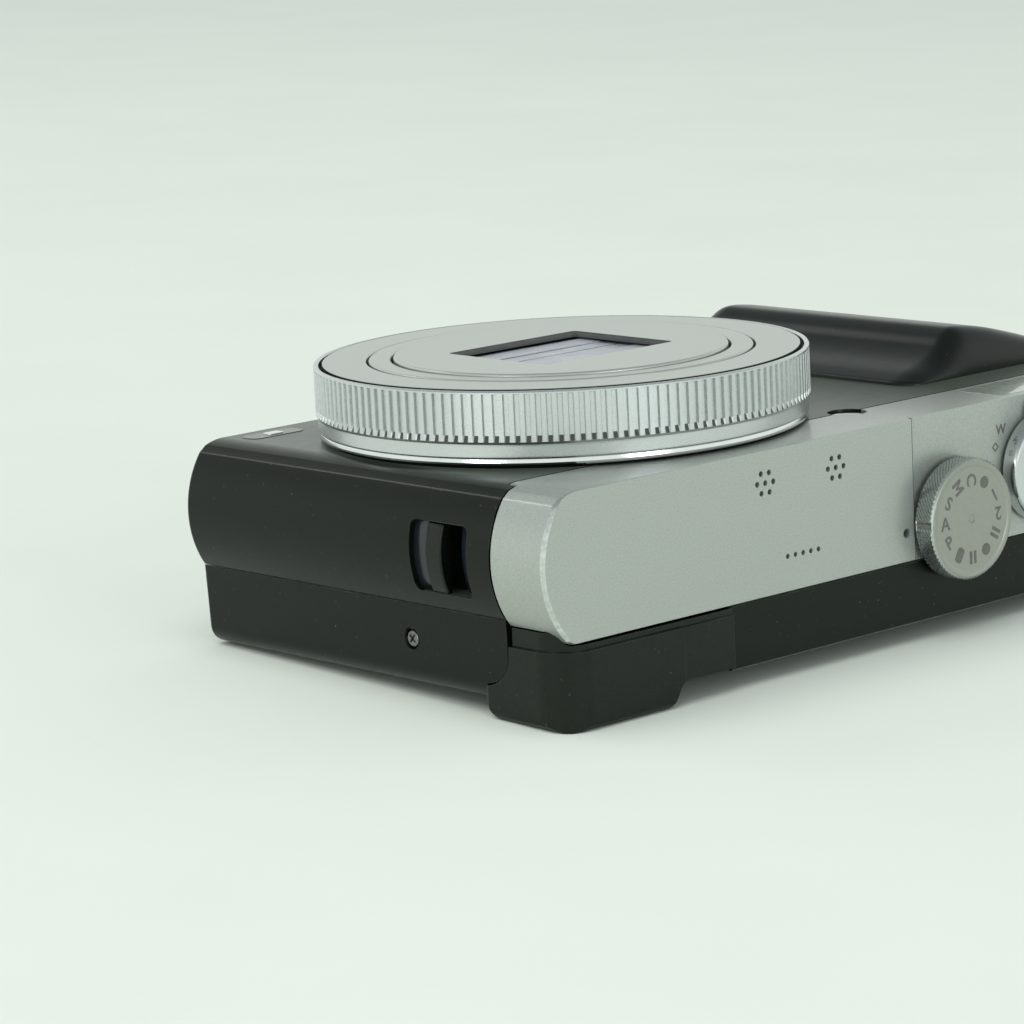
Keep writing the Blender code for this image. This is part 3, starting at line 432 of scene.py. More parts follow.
def sections(name, axis, layers):
    """A solid through outlines with the same number of points, each at its own place on the axis."""
    count = len(layers[0][1])
    verts, faces = [placed(axis, a, b, place) for place, outline in layers for a, b in outline], []
    for layer in range(len(layers) - 1):
        first, second = layer * count, (layer + 1) * count
        for i in range(count):
            j = (i + 1) % count
            faces.append((first + i, first + j, second + j, second + i))
    faces.append(tuple(range(count)))
    faces.append(tuple(range((len(layers) - 1) * count, len(layers) * count)))
    return put(name, verts, faces)


def prism(name, axis, outline, low, high):
    return sections(name, axis, [(low, outline), (high, outline)])


def block(name, low, high):
    return prism(name, "Z", [(low[0], low[1]), (high[0], low[1]), (high[0], high[1]), (low[0], high[1])],
                 low[2], high[2])


def rod(name, axis, centre, radius, low, high, count=32):
    return prism(name, axis, circle(*centre, radius, count), low, high)


def disc(name, axis, centre, outline, count=48):
    return sections(name, axis, [(place, circle(*centre, radius, count)) for radius, place in outline])


def turned(name, axis, centre, outline, count=96, shape=None):
    """A closed (radius, place) outline turned about an axis; shape changes the angle and radius of each point."""
    verts, faces = [], []
    size = len(outline)
    for i in range(count):
        for k, (radius, place) in enumerate(outline):
            angle = 2 * pi * i / count
            if shape:
                angle, radius = shape(i, k, angle, radius)
            verts.append(placed(axis, *polar(centre, radius, angle), place))
    for i in range(count):
        j = (i + 1) % count
        for k in range(size):
            n = (k + 1) % size
            faces.append((i * size + k, j * size + k, j * size + n, i * size + n))
    return put(name, verts, faces)


def settle(obj):
    """Makes the modifiers' result the object's own mesh."""
    graph = bpy.context.evaluated_depsgraph_get()
    mesh = bpy.data.meshes.new_from_object(obj.evaluated_get(graph))
    obj.modifiers.clear()
    obj.data = mesh


def combine(obj, operation, others):
    for other in others:
        modifier = obj.modifiers.new("carve", "BOOLEAN")
        modifier.operation, modifier.solver, modifier.object = operation, "EXACT", other
    settle(obj)
    for other in others:
        bpy.data.objects.remove(other, do_unlink=True)


def cut(obj, *others):
    combine(obj, "DIFFERENCE", others)


def join(obj, *others):
    combine(obj, "UNION", others)


def keep(obj, *others):
    combine(obj, "INTERSECT", others)


def soften(obj, width=0.12, segments=2, angle=32):
    """Rounds the sharp edges a little, as a moulded or cut edge is."""
    modifier = obj.modifiers.new("soften", "BEVEL")
    modifier.width, modifier.segments = width * MM, segments
    modifier.limit_method, modifier.angle_limit = "ANGLE", radians(angle)
    settle(obj)
    return obj


def dress(obj, material, body="camera_body", replaces=(), angle=35):
    """Gives a piece its finish, its smooth shading and the body that it rides on."""
    obj.data.materials.clear()
    obj.data.materials.append(M[material])
    obj.data.shade_smooth()
    obj.data.set_sharp_from_angle(angle=radians(angle))
    modifier = obj.modifiers.new("level", "WEIGHTED_NORMAL")
    modifier.keep_sharp, modifier.weight = True, 100
    settle(obj)
    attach(obj, body)
    if replaces:
        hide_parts(*replaces)
    return obj


def paint_faces(obj, material, test):
    """A second finish on the faces whose centre (mm) and normal pass a test."""
    obj.data.materials.append(M[material])
    index = len(obj.data.materials) - 1
    for face in obj.data.polygons:
        if test(face.center / MM, face.normal):
            face.material_index = index


# ---- covers

def edge_roll(radius):
    """How far inwards and along a rounded edge goes, at seven points from the side to the face."""
    angles = [pi / 2 * i / 6 for i in range(7)]
    return [(radius * (1 - cos(a)), radius * sin(a)) for a in angles]


def rolled_base(outline):
    return [(BASE - BASE_ROLL + along, inset(outline, inwards)) for inwards, along in edge_roll(BASE_ROLL)]


def make_front_shell():
    outline = body_outline()
    shell = sections("front_shell", "Y", [(WRAP_SIDE_Y + 0.14, outline)] + rolled_base(outline))
    cut(shell,
          block("cut", (LEFT - 5, -60, -5), (RIGHT + 5, 60, SEAM_Z + SEAM / 2)),
          prism("cut", "Y", inner_body(WALL), -40, BASE - WALL),
          prism("cut", "Z", rounded(LEFT + 4.4, -60, RIGHT - 4.4, WRAP_FRONT_Y + 0.14, 0.5), 20, 30),
          rod("cut", "Z", (0, 0), LENS_HOLE, 15, 30, 160),
          rod("cut", "Z", LAMP_AT, LAMP_RADIUS + SEAM, 20, 30, 48),
          prism("cut", "X", rounded(*STRAP, 0.9), LEFT - 2, LEFT + 6),
          prism("cut", "X", grown(PORT, SEAM, 0.9), RIGHT - 8, RIGHT + 4),
          block("cut", (DOOR_GAP_X, BASE - 4, 5), (DOOR[2] + SEAM, BASE + 4, DOOR[3] + SEAM)),
          prism("cut", "Y", grown(BASE_PLATE, SEAM, 2.2), BASE - 4, BASE + 4))
    soften(shell, 0.12)
    dress(shell, "paint", replaces=["front_cover"])


def evf_side(grow=0.0):
    points = (arc((-33.35, -1.2), (-33.0, -1.85), (-32.2, -2.1), 6)
              + arc((-23.2, -2.1), (-21.1, -1.25), (-20.0, 0.9), 14)
              + arc((-20.3, 2.1), (-22.6, 3.0), (-24.2, 5.2), 10) + [(-24.3, 7.1), (-33.35, 7.1)])
    return inset(points, -grow) if grow else points


def make_rear_shell():
    outline = body_outline()
    deck = TOP + DECK_DROP
    shell = sections("rear_shell", "Y", [
        (deck, inset(outline, 0.4)), (deck + 0.12, inset(outline, 0.15)), (deck + 0.4, outline),
        *rolled_base(outline)])
    cut(shell,
          block("cut", (LEFT - 5, -60, SEAM_Z - SEAM / 2), (RIGHT + 5, 60, 40)),
          prism("cut", "Y", inner_body(WALL), deck + WALL, BASE - WALL),
          prism("cut", "Y", inset(top_outline(), -SEAM), -60, TOP + 2.1),
          block("cut", (-60, -60, WRAP_Z - SEAM), (100, WRAP_SIDE_Y + SEAM / 2, 40)),
          prism("cut", "X", evf_side(SEAM), -50, -13.2),
          block("cut", (-50, -60, 4.9), (-13.2, -24.15, 40)),
          block("cut", (-14.0, -60, -3), (-5.2, -24.2, 40)),
          prism("cut", "Z", grown(SCREEN, SEAM, 1.4), -3, 1.9),
          rod("cut", "Z", PAD_AT, 10.7, -3, 3, 96),
          block("cut", (DOOR_GAP_X, BASE - 4, DOOR[1] - SEAM), (DOOR[2] + SEAM, BASE + 4, 20)),
          prism("cut", "Y", grown(BASE_PLATE, SEAM, 2.2), BASE - 4, BASE + 4),
          disc("cut", "X", SCREW_AT, [(2.0, LEFT + 1.4), (1.42, LEFT + 2.1), (1.08, LEFT + 2.75), (1.08, -25)], 40),
          *[rod("cut", "Z", (x, y), radius + SEAM, -3, 3, 48) for x, y, radius, _ in BACK_BUTTONS.values()])
    soften(shell, 0.12)
    dress(shell, "paint", replaces=["rear_cover"])


BACK_BUTTONS = {"lvf_button": (1.5, -26.5, 2.6, -0.6), "play_button": (46.5, -11.5, 2.5, -0.6),
                "disp_button": (47.0, 23.5, 2.4, -0.1), "delete_button": (67.5, 23.5, 2.4, -0.1)}
MICS = {"mic_left": (0.75, 21.45), "mic_right": (12.56, 21.45)}


def hole_places():
    pitch = 1.33
    places = []
    for x, z in MICS.values():
        places.append((x, z, 0.34))
        places += [(*polar((x, z), pitch, radians(60 * i)), 0.34) for i in range(6)]
    places += [(6.6 + (i - 2) * 1.29, 12.28, 0.31) for i in range(5)]
    return places + [(24.4, 11.6, 0.58)]


def make_top_shell():
    """Silver cap: a bright cut bevel runs round each end of the plate and dies out along its straight edges."""
    outline = top_outline()

    def cut_width(z):
        rise = min(max((FRONT - 0.2 - z) / 3.0, 0.0), 1.0)
        fall = min(max((z - PLATE_Z + 0.4) / 1.6, 0.0), 1.0)
        return 0.07 + 0.38 * sin(rise * pi / 2) * fall

    bevel = [cut_width(z) if x < LEFT + 6 or x > RIGHT - 6 else 0.07 for x, z in outline]
    shell = sections("top_shell", "Y", [
        (TOP, inset(outline, bevel)), (TOP + 0.42, inset(outline, [b * 0.04 for b in bevel])),
        (TOP + 0.6, outline), (WRAP_FRONT_Y - 0.16, outline)])
    end = WRAP_SIDE_Y - 0.16
    cutters = [
        prism("cut", "Y", inner_top(1.2), TOP + 1.5, 0),
        block("cut", (LEFT + 5.5, TOP + 1.5, 0), (RIGHT - 5.5, 0, 12)),
        block("cut", (LEFT - 5, end, 0), (LEFT + 4.6, 0, 40)),
        block("cut", (RIGHT - 4.6, end, 0), (RIGHT + 5, 0, 40)),
        block("cut", (DECK_X, TOP - 5, -5), (RIGHT + 5, TOP + DECK_DROP, 40)),
        block("cut", (DECK_X - 0.02, TOP - 5, -5), (DECK_X + 0.46, TOP + DECK_DROP + 0.4, 40)),
        rod("cut", "Z", (0, 0), LENS_HOLE, 15, 30, 160),
        rod("cut", "Z", LAMP_AT, LAMP_RADIUS + SEAM, 20, 30, 48),
        *[rod("cut", "Y", at, radius, TOP - 2, TOP + 4, count) for at, radius, count in (
            (DIAL_AT, 2.8, 32), (LEVER_AT, 4.2, 32), (POWER_AT, POWER_RADIUS + SEAM, 48),
            (MOVIE_AT, MOVIE_RADIUS + SEAM, 48))],
        prism("cut", "Z", grown(FLASH, SEAM, 1.0), 20, 30)]
    foot = arc((TOP + 0.9, 7.5), (TOP + 1.4, 9.0), (TOP + 3.2, WRAP_Z), 12) + [(0, WRAP_Z), (0, 0), (TOP + 0.9, 0)]
    cutters += [prism("cut", "X", foot, LEFT - 5, LEFT + 5), prism("cut", "X", foot, RIGHT - 5, RIGHT + 5)]
    cutters += [rod("cut", "Y", (x, z), radius, TOP - 2, TOP + 4, 16) for x, z, radius in hole_places()]
    cut(shell, *cutters)
    soften(shell, 0.07, 2, 40)
    dress(shell, "silver", replaces=["top_cover"], angle=28)
    paint_faces(shell, "cut", lambda at, normal: TOP + 0.02 < at.y < TOP + 0.43 and normal.y < -0.2
                and abs(normal.y) < 0.97 and (at.x < LEFT + 4.6 or at.x > RIGHT - 4.6))


def make_grip():
    foot, last = GRIP_SECTION[0][0], GRIP_SECTION[-1][0]
    columns, rows = 120, 110
    xs = [p[0] for p in GRIP_SECTION]

    def rise(x):
        i = max(k for k in range(len(xs) - 1) if xs[k] <= x + 1e-9)
        (x0, h0), (x1, h1) = GRIP_SECTION[i], GRIP_SECTION[i + 1]
        before, after = GRIP_SECTION[max(i - 1, 0)], GRIP_SECTION[min(i + 2, len(xs) - 1)]
        slope0 = (h1 - before[1]) / (x1 - before[0])
        slope1 = (after[1] - h0) / (after[0] - x0)
        t, width = (x - x0) / (x1 - x0), x1 - x0
        return (h0 * (1 + 2 * t) * (1 - t) ** 2 + h1 * t * t * (3 - 2 * t)
                + width * (slope0 * t * (1 - t) ** 2 - slope1 * t * t * (1 - t)))

    verts, faces = [], []
    for j in range(rows + 1):
        y = GRIP_TOP + (GRIP_BOTTOM - GRIP_TOP) * (1 - cos(pi * j / rows)) / 2
        near = min((y - GRIP_TOP) / 3.4, (GRIP_BOTTOM - y) / 5.0, 1.0)
        round_off = sqrt(max(0.0, 1 - (1 - near) ** 2))
        x0, x1 = foot + 2.6 * (1 - round_off), last - 2.0 * (1 - round_off)
        for i in range(columns + 1):
            x = x0 + (x1 - x0) * i / columns
            height = rise(min(foot + (last - foot) * i / columns, last - 1e-6))
            verts.append((x, y, FRONT + (0.02 if i in (0, columns) or j in (0, rows) else 0.12)
                          + height * (0.04 + 0.96 * round_off)))
    top_count = len(verts)
    verts += [(x, y, FRONT - 0.25) for x, y, _ in verts]
    width = columns + 1
    for j in range(rows):
        for i in range(columns):
            a = j * width + i
            faces.append((a, a + 1, a + width + 1, a + width))
            faces.append((top_count + a + width, top_count + a + width + 1, top_count + a + 1, top_count + a))
    rim = (list(range(columns)) + [j * width + columns for j in range(rows)]
           + [rows * width + i for i in range(columns, 0, -1)] + [j * width for j in range(rows, 0, -1)])
    for a, b in zip(rim, rim[1:] + rim[:1]):
        faces.append((a, top_count + a, top_count + b, b))
    grip = put("hand_grip", verts, faces)
    dress(grip, "grip", replaces=["grip"], angle=50)


def make_side_fittings():
    y, z = SCREW_AT
    head = disc("end_screw", "X", SCREW_AT, [
        (0.78, LEFT + 2.36), (0.95, LEFT + 2.45), (0.98, LEFT + 2.7), (0.6, LEFT + 3.0), (0.6, LEFT + 6.0)], 40)
    arms, arm = [], ((-0.62, -0.13), (0.62, -0.13), (0.62, 0.13), (-0.62, 0.13))
    for angle in (radians(40), radians(130)):
        c, q = cos(angle), sin(angle)
        arms.append(prism("cut", "X", [(y + c * a - q * b, z + q * a + c * b) for a, b in arm], LEFT, LEFT + 2.8))
    cut(head, *arms)
    dress(soften(head, 0.04), "screw", replaces=["side_screw"])

    y0, z0, y1, z1 = STRAP
    x = LEFT
    cup = block("strap_recess", (x + 0.6, y0 - 0.5, z0 - 0.5), (x + 5.4, y1 + 0.5, z1 + 0.5))
    side = [(x - 3, 8)] + [(a + 0.75, b) for a, b in bulge(11.6, 21.2, 24)] + [(x - 3, 25)]
    cut(cup, prism("cut", "X", grown(STRAP, -0.02, 0.9), x - 2, x + 4.0),
          prism("cut", "Y", side, -40, 10))
    dress(soften(cup, 0.1), "paint", replaces=["strap_cup"])
    for name, low, high, depth in (("strap_panel", -13.1, y1 + 0.1, 0.8), ("strap_wall", y0 - 0.1, -16.9, 2.3)):
        face = [(a + depth, b) for a, b in bulge(z0 - 0.1, z1 + 0.1, 16)]
        panel = prism(name, "Y", face + [(x + 4.6, z1 + 0.1), (x + 4.6, z0 - 0.1)], low, high)
        dress(soften(panel, 0.15), "panel")

    outer = arc((x + 1.0, z0 + 0.1), (x + 0.02, 16.4), (x + 0.72, z1 - 0.1), 24)
    inner = arc((x + 1.9, z1 - 0.1), (x + 1.25, 16.4), (x + 1.9, z0 + 0.1), 24)
    bar = prism("strap_bridge", "Y", outer + inner, -15.9, -13.2)
    dress(soften(bar, 0.28, 4), "evf", replaces=["strap_bar"])


# ---- viewfinder

def make_viewfinder():
    body = prism("viewfinder", "X", evf_side(), -32.35, -13.5)
    corner = arc((-32.35, -28.7), (-31.0, -32.0), (-27.7, -33.35), 18)
    plan = corner + [(-13.5, -33.35), (-13.5, -19.4)] + arc((-31.3, -19.4), (-32.05, -19.85), (-32.35, -20.8), 6)
    front = ([(-32.35, 7.1), (-32.35, -0.5)] + arc((-32.35, -0.5), (-31.9, -1.65), (-30.7, -2.1), 10)[1:]
             + arc((-16.8, -2.1), (-15.9, -1.95), (-15.2, -1.35), 6)
             + arc((-14.3, 0.1), (-13.95, 0.55), (-13.5, 0.8), 4) + [(-13.5, 7.1)])
    keep(body, prism("keep", "Z", plan, -4, 10))
    keep(body, prism("keep", "Y", front, -40, -10))
    join(body, block("join", (-14.5, -33.22, 0.8), (-5.4, -24.5, 7.05)))
    soften(body, 0.5, 5, 40)
    neck = (arc((-31.95, -28.6), (-30.7, -31.75), (-27.6, -32.98), 14)
            + [(-5.5, -32.98), (-5.5, -24.6), (-31.95, -24.6)])
    cheek = arc((TOP + 0.9 + SEAM, 7.2), (TOP + 1.4 + SEAM, 8.8), (TOP + 3.2, WRAP_Z - SEAM), 12)
    rise = prism("join", "X", cheek + [(-24.6, WRAP_Z - SEAM), (-24.6, 6.5), (TOP + 1.1, 6.5)], -33, -30.0)
    keep(rise, prism("keep", "Z", [(x + (0.004 if x < -20 else 0), y) for x, y in neck], 0, 20))
    join(body, prism("join", "Z", neck, 6.4, PLATE_Z - SEAM), rise)
    cut(body,
          prism("cut", "Z", rounded(-31.0, -31.9, -14.8, -24.9, 2.2), 0.6, 12),
          prism("cut", "Z", rounded(-30.4, -31.9, -16.6, -22.2, 1.6), -5, -1.2),
          prism("cut", "Z", rounded(-28.9, -30.4, -18.1, -25.2, 1.0), -5, 3),
          rod("cut", "Z", (-9.6, -28.8), 3.1, -2, 2.7, 64))
    dress(body, "evf", replaces=["evf_housing"], angle=30)
    cup = prism("eye_cup", "Z", rounded(-30.2, -31.7, -16.8, -22.4, 1.5), -2.06, -1.4)
    cut(cup, sections("cut", "Z", [(-3, rounded(-29.4, -31.0, -17.6, -23.2, 1.3)),
                                                   (-1.0, rounded(-28.2, -29.8, -18.8, -24.4, 0.9))]))
    dress(soften(cup, 0.18, 3), "rubber", replaces=["eye_frame"])
    wheel = turned("focus_wheel", "Z", (-9.6, -28.8), [
        (0.6, 0.75), (2.6, 0.75), (2.85, 1.0), (2.85, 2.3), (0.6, 2.3)], 96,
        lambda i, k, angle, radius: (angle, radius - (0.18 if i % 4 < 2 and k in (2, 3) else 0)))
    dress(wheel, "inner", "diopter_dial", ["diopter_dial"])


# ---- lens

def make_ring():
    """Turned ring with 150 slots that run out in a slope above a smooth band and a polished lip."""
    slots, depth = 150, 0.36
    rows = [(27.6, 25.64), (29.15, 25.62), (29.38, 25.68), (29.52, 25.82), (29.58, 26.05), (29.55, 26.3),
            (29.50, 26.48), (29.55, 26.58), (29.67, 26.7), (29.69, 26.9), (29.63, 27.9), (29.68, 28.2),
            (29.87, 28.5), (29.87, 29.2), (29.87, 33.95), (29.87, 34.05), (29.87, 34.22), (29.78, 34.36),
            (29.6, 34.4), (29.42, 34.38), (29.27, 34.25), (29.25, 32.9), (27.6, 32.9)]
    low, high = 13, 14
    edges = (0.22, 0.31, 0.69, 0.78)

    def shape(i, k, angle, radius):
        here = 2 * pi * (i // 4 + edges[i % 4]) / slots
        if k in (low, high) and i % 4 in (1, 2):
            radius -= depth
        return here, radius

    ring = turned("ribbed_ring", "Z", (0, 0), rows, slots * 4, shape)
    dress(ring, "ring", "control_ring", ["control_ring"], angle=16)
    paint_faces(ring, "lip", lambda at, normal: at.z < 26.5)
    # The upward-facing run-outs of the slots get the painted dark reflection.
    paint_faces(ring, "slope", lambda at, normal: 28.5 < at.z < 29.3 and normal.z > 0.2)
    # The slot walls get the painted shade.
    paint_faces(ring, "groove_shade", lambda at, normal: 28.6 < at.z < 34.1 and abs(normal.z) < 0.4
                and abs(normal.x * at.x + normal.y * at.y) < 0.75 * hypot(at.x, at.y))


def make_lens():
    collar = turned("lens_tube", "Z", (0, 0), [
        (24.0, 10.2), (27.2, 10.2), (27.2, 21.0), (28.55, 21.0), (28.55, 25.3), (28.35, 25.5), (27.2, 25.5),
        (27.2, 33.0), (24.0, 33.0)], 160)
    dress(collar, "void", replaces=["lens_collar"])
    bezel = turned("front_bezel", "Z", (0, 0), [
        (23.5, 33.3), (28.97, 33.3), (28.97, 34.18), (28.93, 34.32), (28.8, 34.42), (28.55, 34.46),
        (23.68, 34.46), (23.56, 34.42), (23.5, 34.3)], 200)
    dress(bezel, "bezel", replaces=["lens_bezel"], angle=60)
    # The bezel's side, in the narrow gap inside the ring, is painted dead black: painted shade for the gap.
    paint_faces(bezel, "void", lambda at, normal: hypot(at.x, at.y) > 28.86 and at.z < 34.42)
    first = turned("outer_barrel", "Z", (0, 0), [
        (22.0, 11.0), (23.1, 11.0), (23.2, 11.1), (23.2, 34.35), (23.12, 34.5), (22.95, 34.56), (20.8, 34.56),
        (20.62, 34.5), (20.55, 34.35), (20.55, 33.3), (22.0, 33.3)], 200)
    dress(first, "bezel", "barrel_1", ["barrel_1"], angle=60)
    second = turned("inner_barrel", "Z", (0, 0), [
        (19.0, 11.0), (20.1, 11.0), (20.2, 11.1), (20.2, 33.1), (19.0, 33.1), (19.0, 24.0), (13.6, 24.0),
        (13.6, 22.8), (19.0, 22.8)], 160)
    dress(second, "barrel", "barrel_2", ["barrel_2"])
    rim = [(20.2 - inwards, 34.55 + along) for inwards, along in edge_roll(0.3)]
    cap = disc("front_plate", "Z", (0, 0), [(20.2, 33.4)] + rim, 200)
    hole, mouth = rounded(-9.5, -7.6, 9.5, 7.6, 0.6), rounded(-10.5, -8.8, 10.5, 8.8, 0.7)
    sink = sections("cut", "Z", [(30, hole), (34.3, hole), (34.85, mouth), (36, mouth)])
    cut(cap, block("cut", (-10.3, -16.6, 30), (10.3, 16.6, 34.3)), sink)
    dress(soften(cap, 0.06), "bezel", "barrel_2", ["lens_front_cap"], angle=40)
    paint_faces(cap, "tunnel", lambda at, normal: abs(at.x) < 10.6 and abs(at.y) < 8.9 and at.z < 34.82
                and abs(normal.z) < 0.95)
    for name, side in (("barrier_blade_a", 1), ("barrier_blade_b", -1)):
        leaf = [(-10.0, 0.15), (10.0, 0.15), (10.0, 6.9), (8.8, 8.1), (-8.8, 8.1), (-10.0, 6.9)]
        blade = prism(name.replace("barrier_blade", "leaf"), "Z", [(x, y * side) for x, y in leaf], 33.6, 34.05)
        step = prism("join", "Z", [(-9.9, 3.0 * side), (9.9, 3.0 * side), (9.9, 6.8 * side), (-9.9, 6.8 * side)],
                     33.8, 34.15)
        join(blade, step)
        dress(soften(blade, 0.08), "blade", name, [name])
    profile = [(3.0, 30.0), (5.0, 29.85), (7.0, 29.55), (9.0, 29.1), (11.0, 28.5), (12.4, 27.9), (13.2, 27.4)]
    profile = [(4.0, 23.6), (10.0, 24.4), (13.2, 25.6)] + profile[::-1] + [(1.0, 30.08)]
    glass = disc("front_element", "Z", (0, 0), profile, 96)
    dress(glass, "lens", "barrel_2", ["front_lens"], angle=60)


# ---- top controls

def glyph(body, size, place, turn, lift):
    """One printed character as a thin plate, its face on the plane y = lift."""
    curve = bpy.data.curves.new("glyph", "FONT")
    curve.body, curve.size, curve.extrude = body, size * MM, 0.012 * MM
    curve.align_x, curve.align_y = "CENTER", "CENTER"
    curve.resolution_u = 3
    curve.offset = 0.05 * MM
    obj = linked("glyph", curve)
    obj.matrix_world = (Matrix.Translation(Vector((place[0], lift, place[1])) * MM)
                        @ Matrix.Rotation(pi / 2, 4, "X") @ Matrix.Rotation(turn, 4, "Z"))
    bpy.context.view_layer.update()
    graph = bpy.context.evaluated_depsgraph_get()
    mesh = bpy.data.meshes.new_from_object(obj.evaluated_get(graph))
    mesh.transform(obj.matrix_world)
    bpy.data.objects.remove(obj, do_unlink=True)
    return mesh


def merged(name, meshes):
    form = bmesh.new()
    for mesh in meshes:
        form.from_mesh(mesh)
    mesh = bpy.data.meshes.new(name)
    form.to_mesh(mesh)
    form.free()
    return linked(name, mesh)


def sign(name, axis, pieces):
    """Flat printed shapes, each (outline, low, high), as a list of meshes."""
    made = []
    for outline, low, high in pieces:
        obj = prism("sign", axis, outline, low, high)
        made.append(obj.data)
        bpy.data.objects.remove(obj, do_unlink=True)
    return made


def make_dial():
    cx, cz = DIAL_AT
    radius, top = 7.4, TOP - 3.0
    profile = [(2.4, top + 0.12), (6.3, top + 0.12), (6.45, top + 0.06), (6.62, top), (6.98, top), (7.1, top + 0.05),
               (7.2, top + 0.2)]
    knurl_rows = 11
    first, last = top + 0.3, TOP - 0.42
    rows = profile + [(radius, first + (last - first) * k / (knurl_rows - 1)) for k in range(knurl_rows)]
    rows += [(7.2, TOP - 0.3), (7.1, TOP - 0.2), (2.4, TOP - 0.2), (2.4, TOP + 2.7), (0.5, TOP + 2.7),
             (0.5, top + 0.12)]
    start = len(profile)
    count = 152
    notch = round(count * 0.5)

    def shape(i, k, angle, r):
        if start <= k < start + knurl_rows:
            if (i + k) % 2:
                r -= 0.26
            if abs(i - notch) <= 1:
                r -= 0.25
        return angle, r

    dial = turned("command_dial", "Y", DIAL_AT, rows, count, shape)
    dress(dial, "dial", "mode_dial", ["mode_dial"], angle=20)
    paint_faces(dial, "knurl", lambda at, normal: hypot(at.x - cx, at.z - cz) > 7.12)
    hub = disc("dial_centre", "Y", DIAL_AT, [(0.45, top + 0.2), (0.55, top + 0.1), (0.55, top + 0.5)], 24)
    dress(hub, "dial", "mode_dial")
    marks, mark_radius = [], 4.75
    lift = top + 0.115
    letters = {180: "A", 150: "S", 90: "C", 210: "P", 30: "1", 0: "2"}
    for degrees, letter in letters.items():
        angle = radians(degrees)
        marks.append(glyph(letter, 2.3, polar(DIAL_AT, mark_radius, angle), angle - pi, lift))
    half = [(0.0, 0.1), (0.42, 0.85), (0.8, 0.85), (0.8, -0.8), (0.42, -0.8), (0.42, 0.25), (0.0, -0.5)]
    outlines = {"ring": [circle(0, 0, 0.75, 20)], "peaks": [half + [(-x, y) for x, y in half[-2:0:-1]]],
                "pill": [rounded(-0.95, -0.6, 0.95, 0.6, 0.4, 4)],
                "bars": [rounded(-0.8, 0.15, 0.8, 0.6, 0.1, 2), rounded(-0.8, -0.6, 0.8, -0.15, 0.1, 2)]}
    shapes = []
    for degrees, kind in ((60, "ring"), (120, "peaks"), (240, "pill"), (270, "bars"), (300, "ring"), (330, "bars")):
        angle = radians(degrees)
        place = Vector(polar(DIAL_AT, mark_radius, angle))
        turn = Matrix.Rotation(angle - pi, 2)
        for outline in outlines[kind]:
            shapes.append(([tuple(place + turn @ Vector(p)) for p in outline], lift - 0.012, lift + 0.012))
    marks += sign("dial_shapes", "Y", shapes)
    dress(merged("dial_marks", marks), "ink", "mode_dial")


def make_top_controls():
    deck = TOP + DECK_DROP
    x, z = LEVER_AT
    low = deck - 0.3 - 2.2
    rows = [(4.8, low + 0.35), (4.95, low + 0.1), (5.2, low), (6.2, low), (6.55, low + 0.12), (6.75, low + 0.4),
            (6.8, low + 0.8), (6.8, deck - 0.45), (6.6, deck - 0.3), (4.8, deck - 0.3)]
    lever = turned("zoom_ring", "Y", LEVER_AT, rows, 120)
    join(lever, sections("join", "Y", [
        (low - 0.5, [(x - 2.6, z + 5.8), (x + 2.6, z + 5.8), (x + 1.5, z + 8.9), (x - 1.5, z + 8.9)]),
        (deck - 0.5, [(x - 2.6, z + 5.8), (x + 2.6, z + 5.8), (x + 1.6, z + 8.4), (x - 1.6, z + 8.4)])]))
    dress(soften(lever, 0.1, 3), "chrome", "zoom_lever", ["zoom_lever"])
    rows = [(0.4, low - 0.45), (1.6, low - 0.5), (2.6, low - 0.52), (3.4, low - 0.45), (3.9, low - 0.28),
            (4.2, low), (4.3, low + 0.3), (4.3, deck - 1.5), (3.2, deck - 1.5), (3.2, deck + 1.8)]
    button = disc("release_button", "Y", LEVER_AT, rows, 96)
    dress(button, "shutter", "shutter_button", ["shutter_button"], angle=50)
    for name, at, radius in (("power_button", POWER_AT, POWER_RADIUS), ("movie_button", MOVIE_AT, MOVIE_RADIUS)):
        rows = [(0.3, deck - 0.55), (radius - 0.9, deck - 0.58), (radius - 0.55, deck - 0.68),
                (radius - 0.3, deck - 0.7), (radius - 0.08, deck - 0.6), (radius, deck - 0.4), (radius, deck + 2.2)]
        button = disc(name.replace("button", "key"), "Y", at, rows, 64)
        dress(button, "power", name, [name], angle=50)
    dot = disc("movie_dot", "Y", MOVIE_AT, [(0.8, deck - 0.6), (0.8, deck - 0.5)], 32)
    dress(dot, "amber", "movie_button")
    marks = [glyph("W", 1.7, (42.2, 21.5), 0, deck - 0.002), glyph("T", 1.7, (55.2, 21.5), 0, deck - 0.002)]
    square = circle(41.1, 19.5, 0.62, 4)
    inner = circle(41.1, 19.5, 0.38, 4)
    frame_parts = []
    for i in range(4):
        j = (i + 1) % 4
        frame_parts.append(([square[i], square[j], inner[j], inner[i]], deck - 0.014, deck + 0.01))
    marks += sign("zoom_shapes", "Y", frame_parts)
    dress(merged("zoom_marks", marks), "ink")


# ---- front, back, base and doors

def make_windows():
    flash = sections("flash_cover", "Z", [
        (23.2, rounded(*FLASH, 0.8)), (FRONT - 0.12, rounded(*FLASH, 0.8)), (FRONT, grown(FLASH, -0.15, 0.7))])
    dress(flash, "flash", replaces=["flash_window"])
    lamp = disc("focus_lamp", "Z", LAMP_AT, [
        (LAMP_RADIUS - 0.15, 22.0), (LAMP_RADIUS - 0.15, FRONT - 0.4), (LAMP_RADIUS - 0.3, FRONT - 0.26),
        (LAMP_RADIUS * 0.6, FRONT - 0.2), (0.3, FRONT - 0.18)], 48)
    dress(lamp, "smoke", replaces=["af_lamp"], angle=50)
    badge = prism("front_badge", "Z", rounded(-27.6, 25.4, -19.4, 28.6, 1.2), FRONT - 0.1, FRONT + 0.06)
    dress(soften(badge, 0.03), "plaque")
    mark = prism("badge_mark", "Z", rounded(-24.6, 26.2, -22.2, 27.8, 0.5), FRONT, FRONT + 0.16)
    dress(soften(mark, 0.05), "chrome")


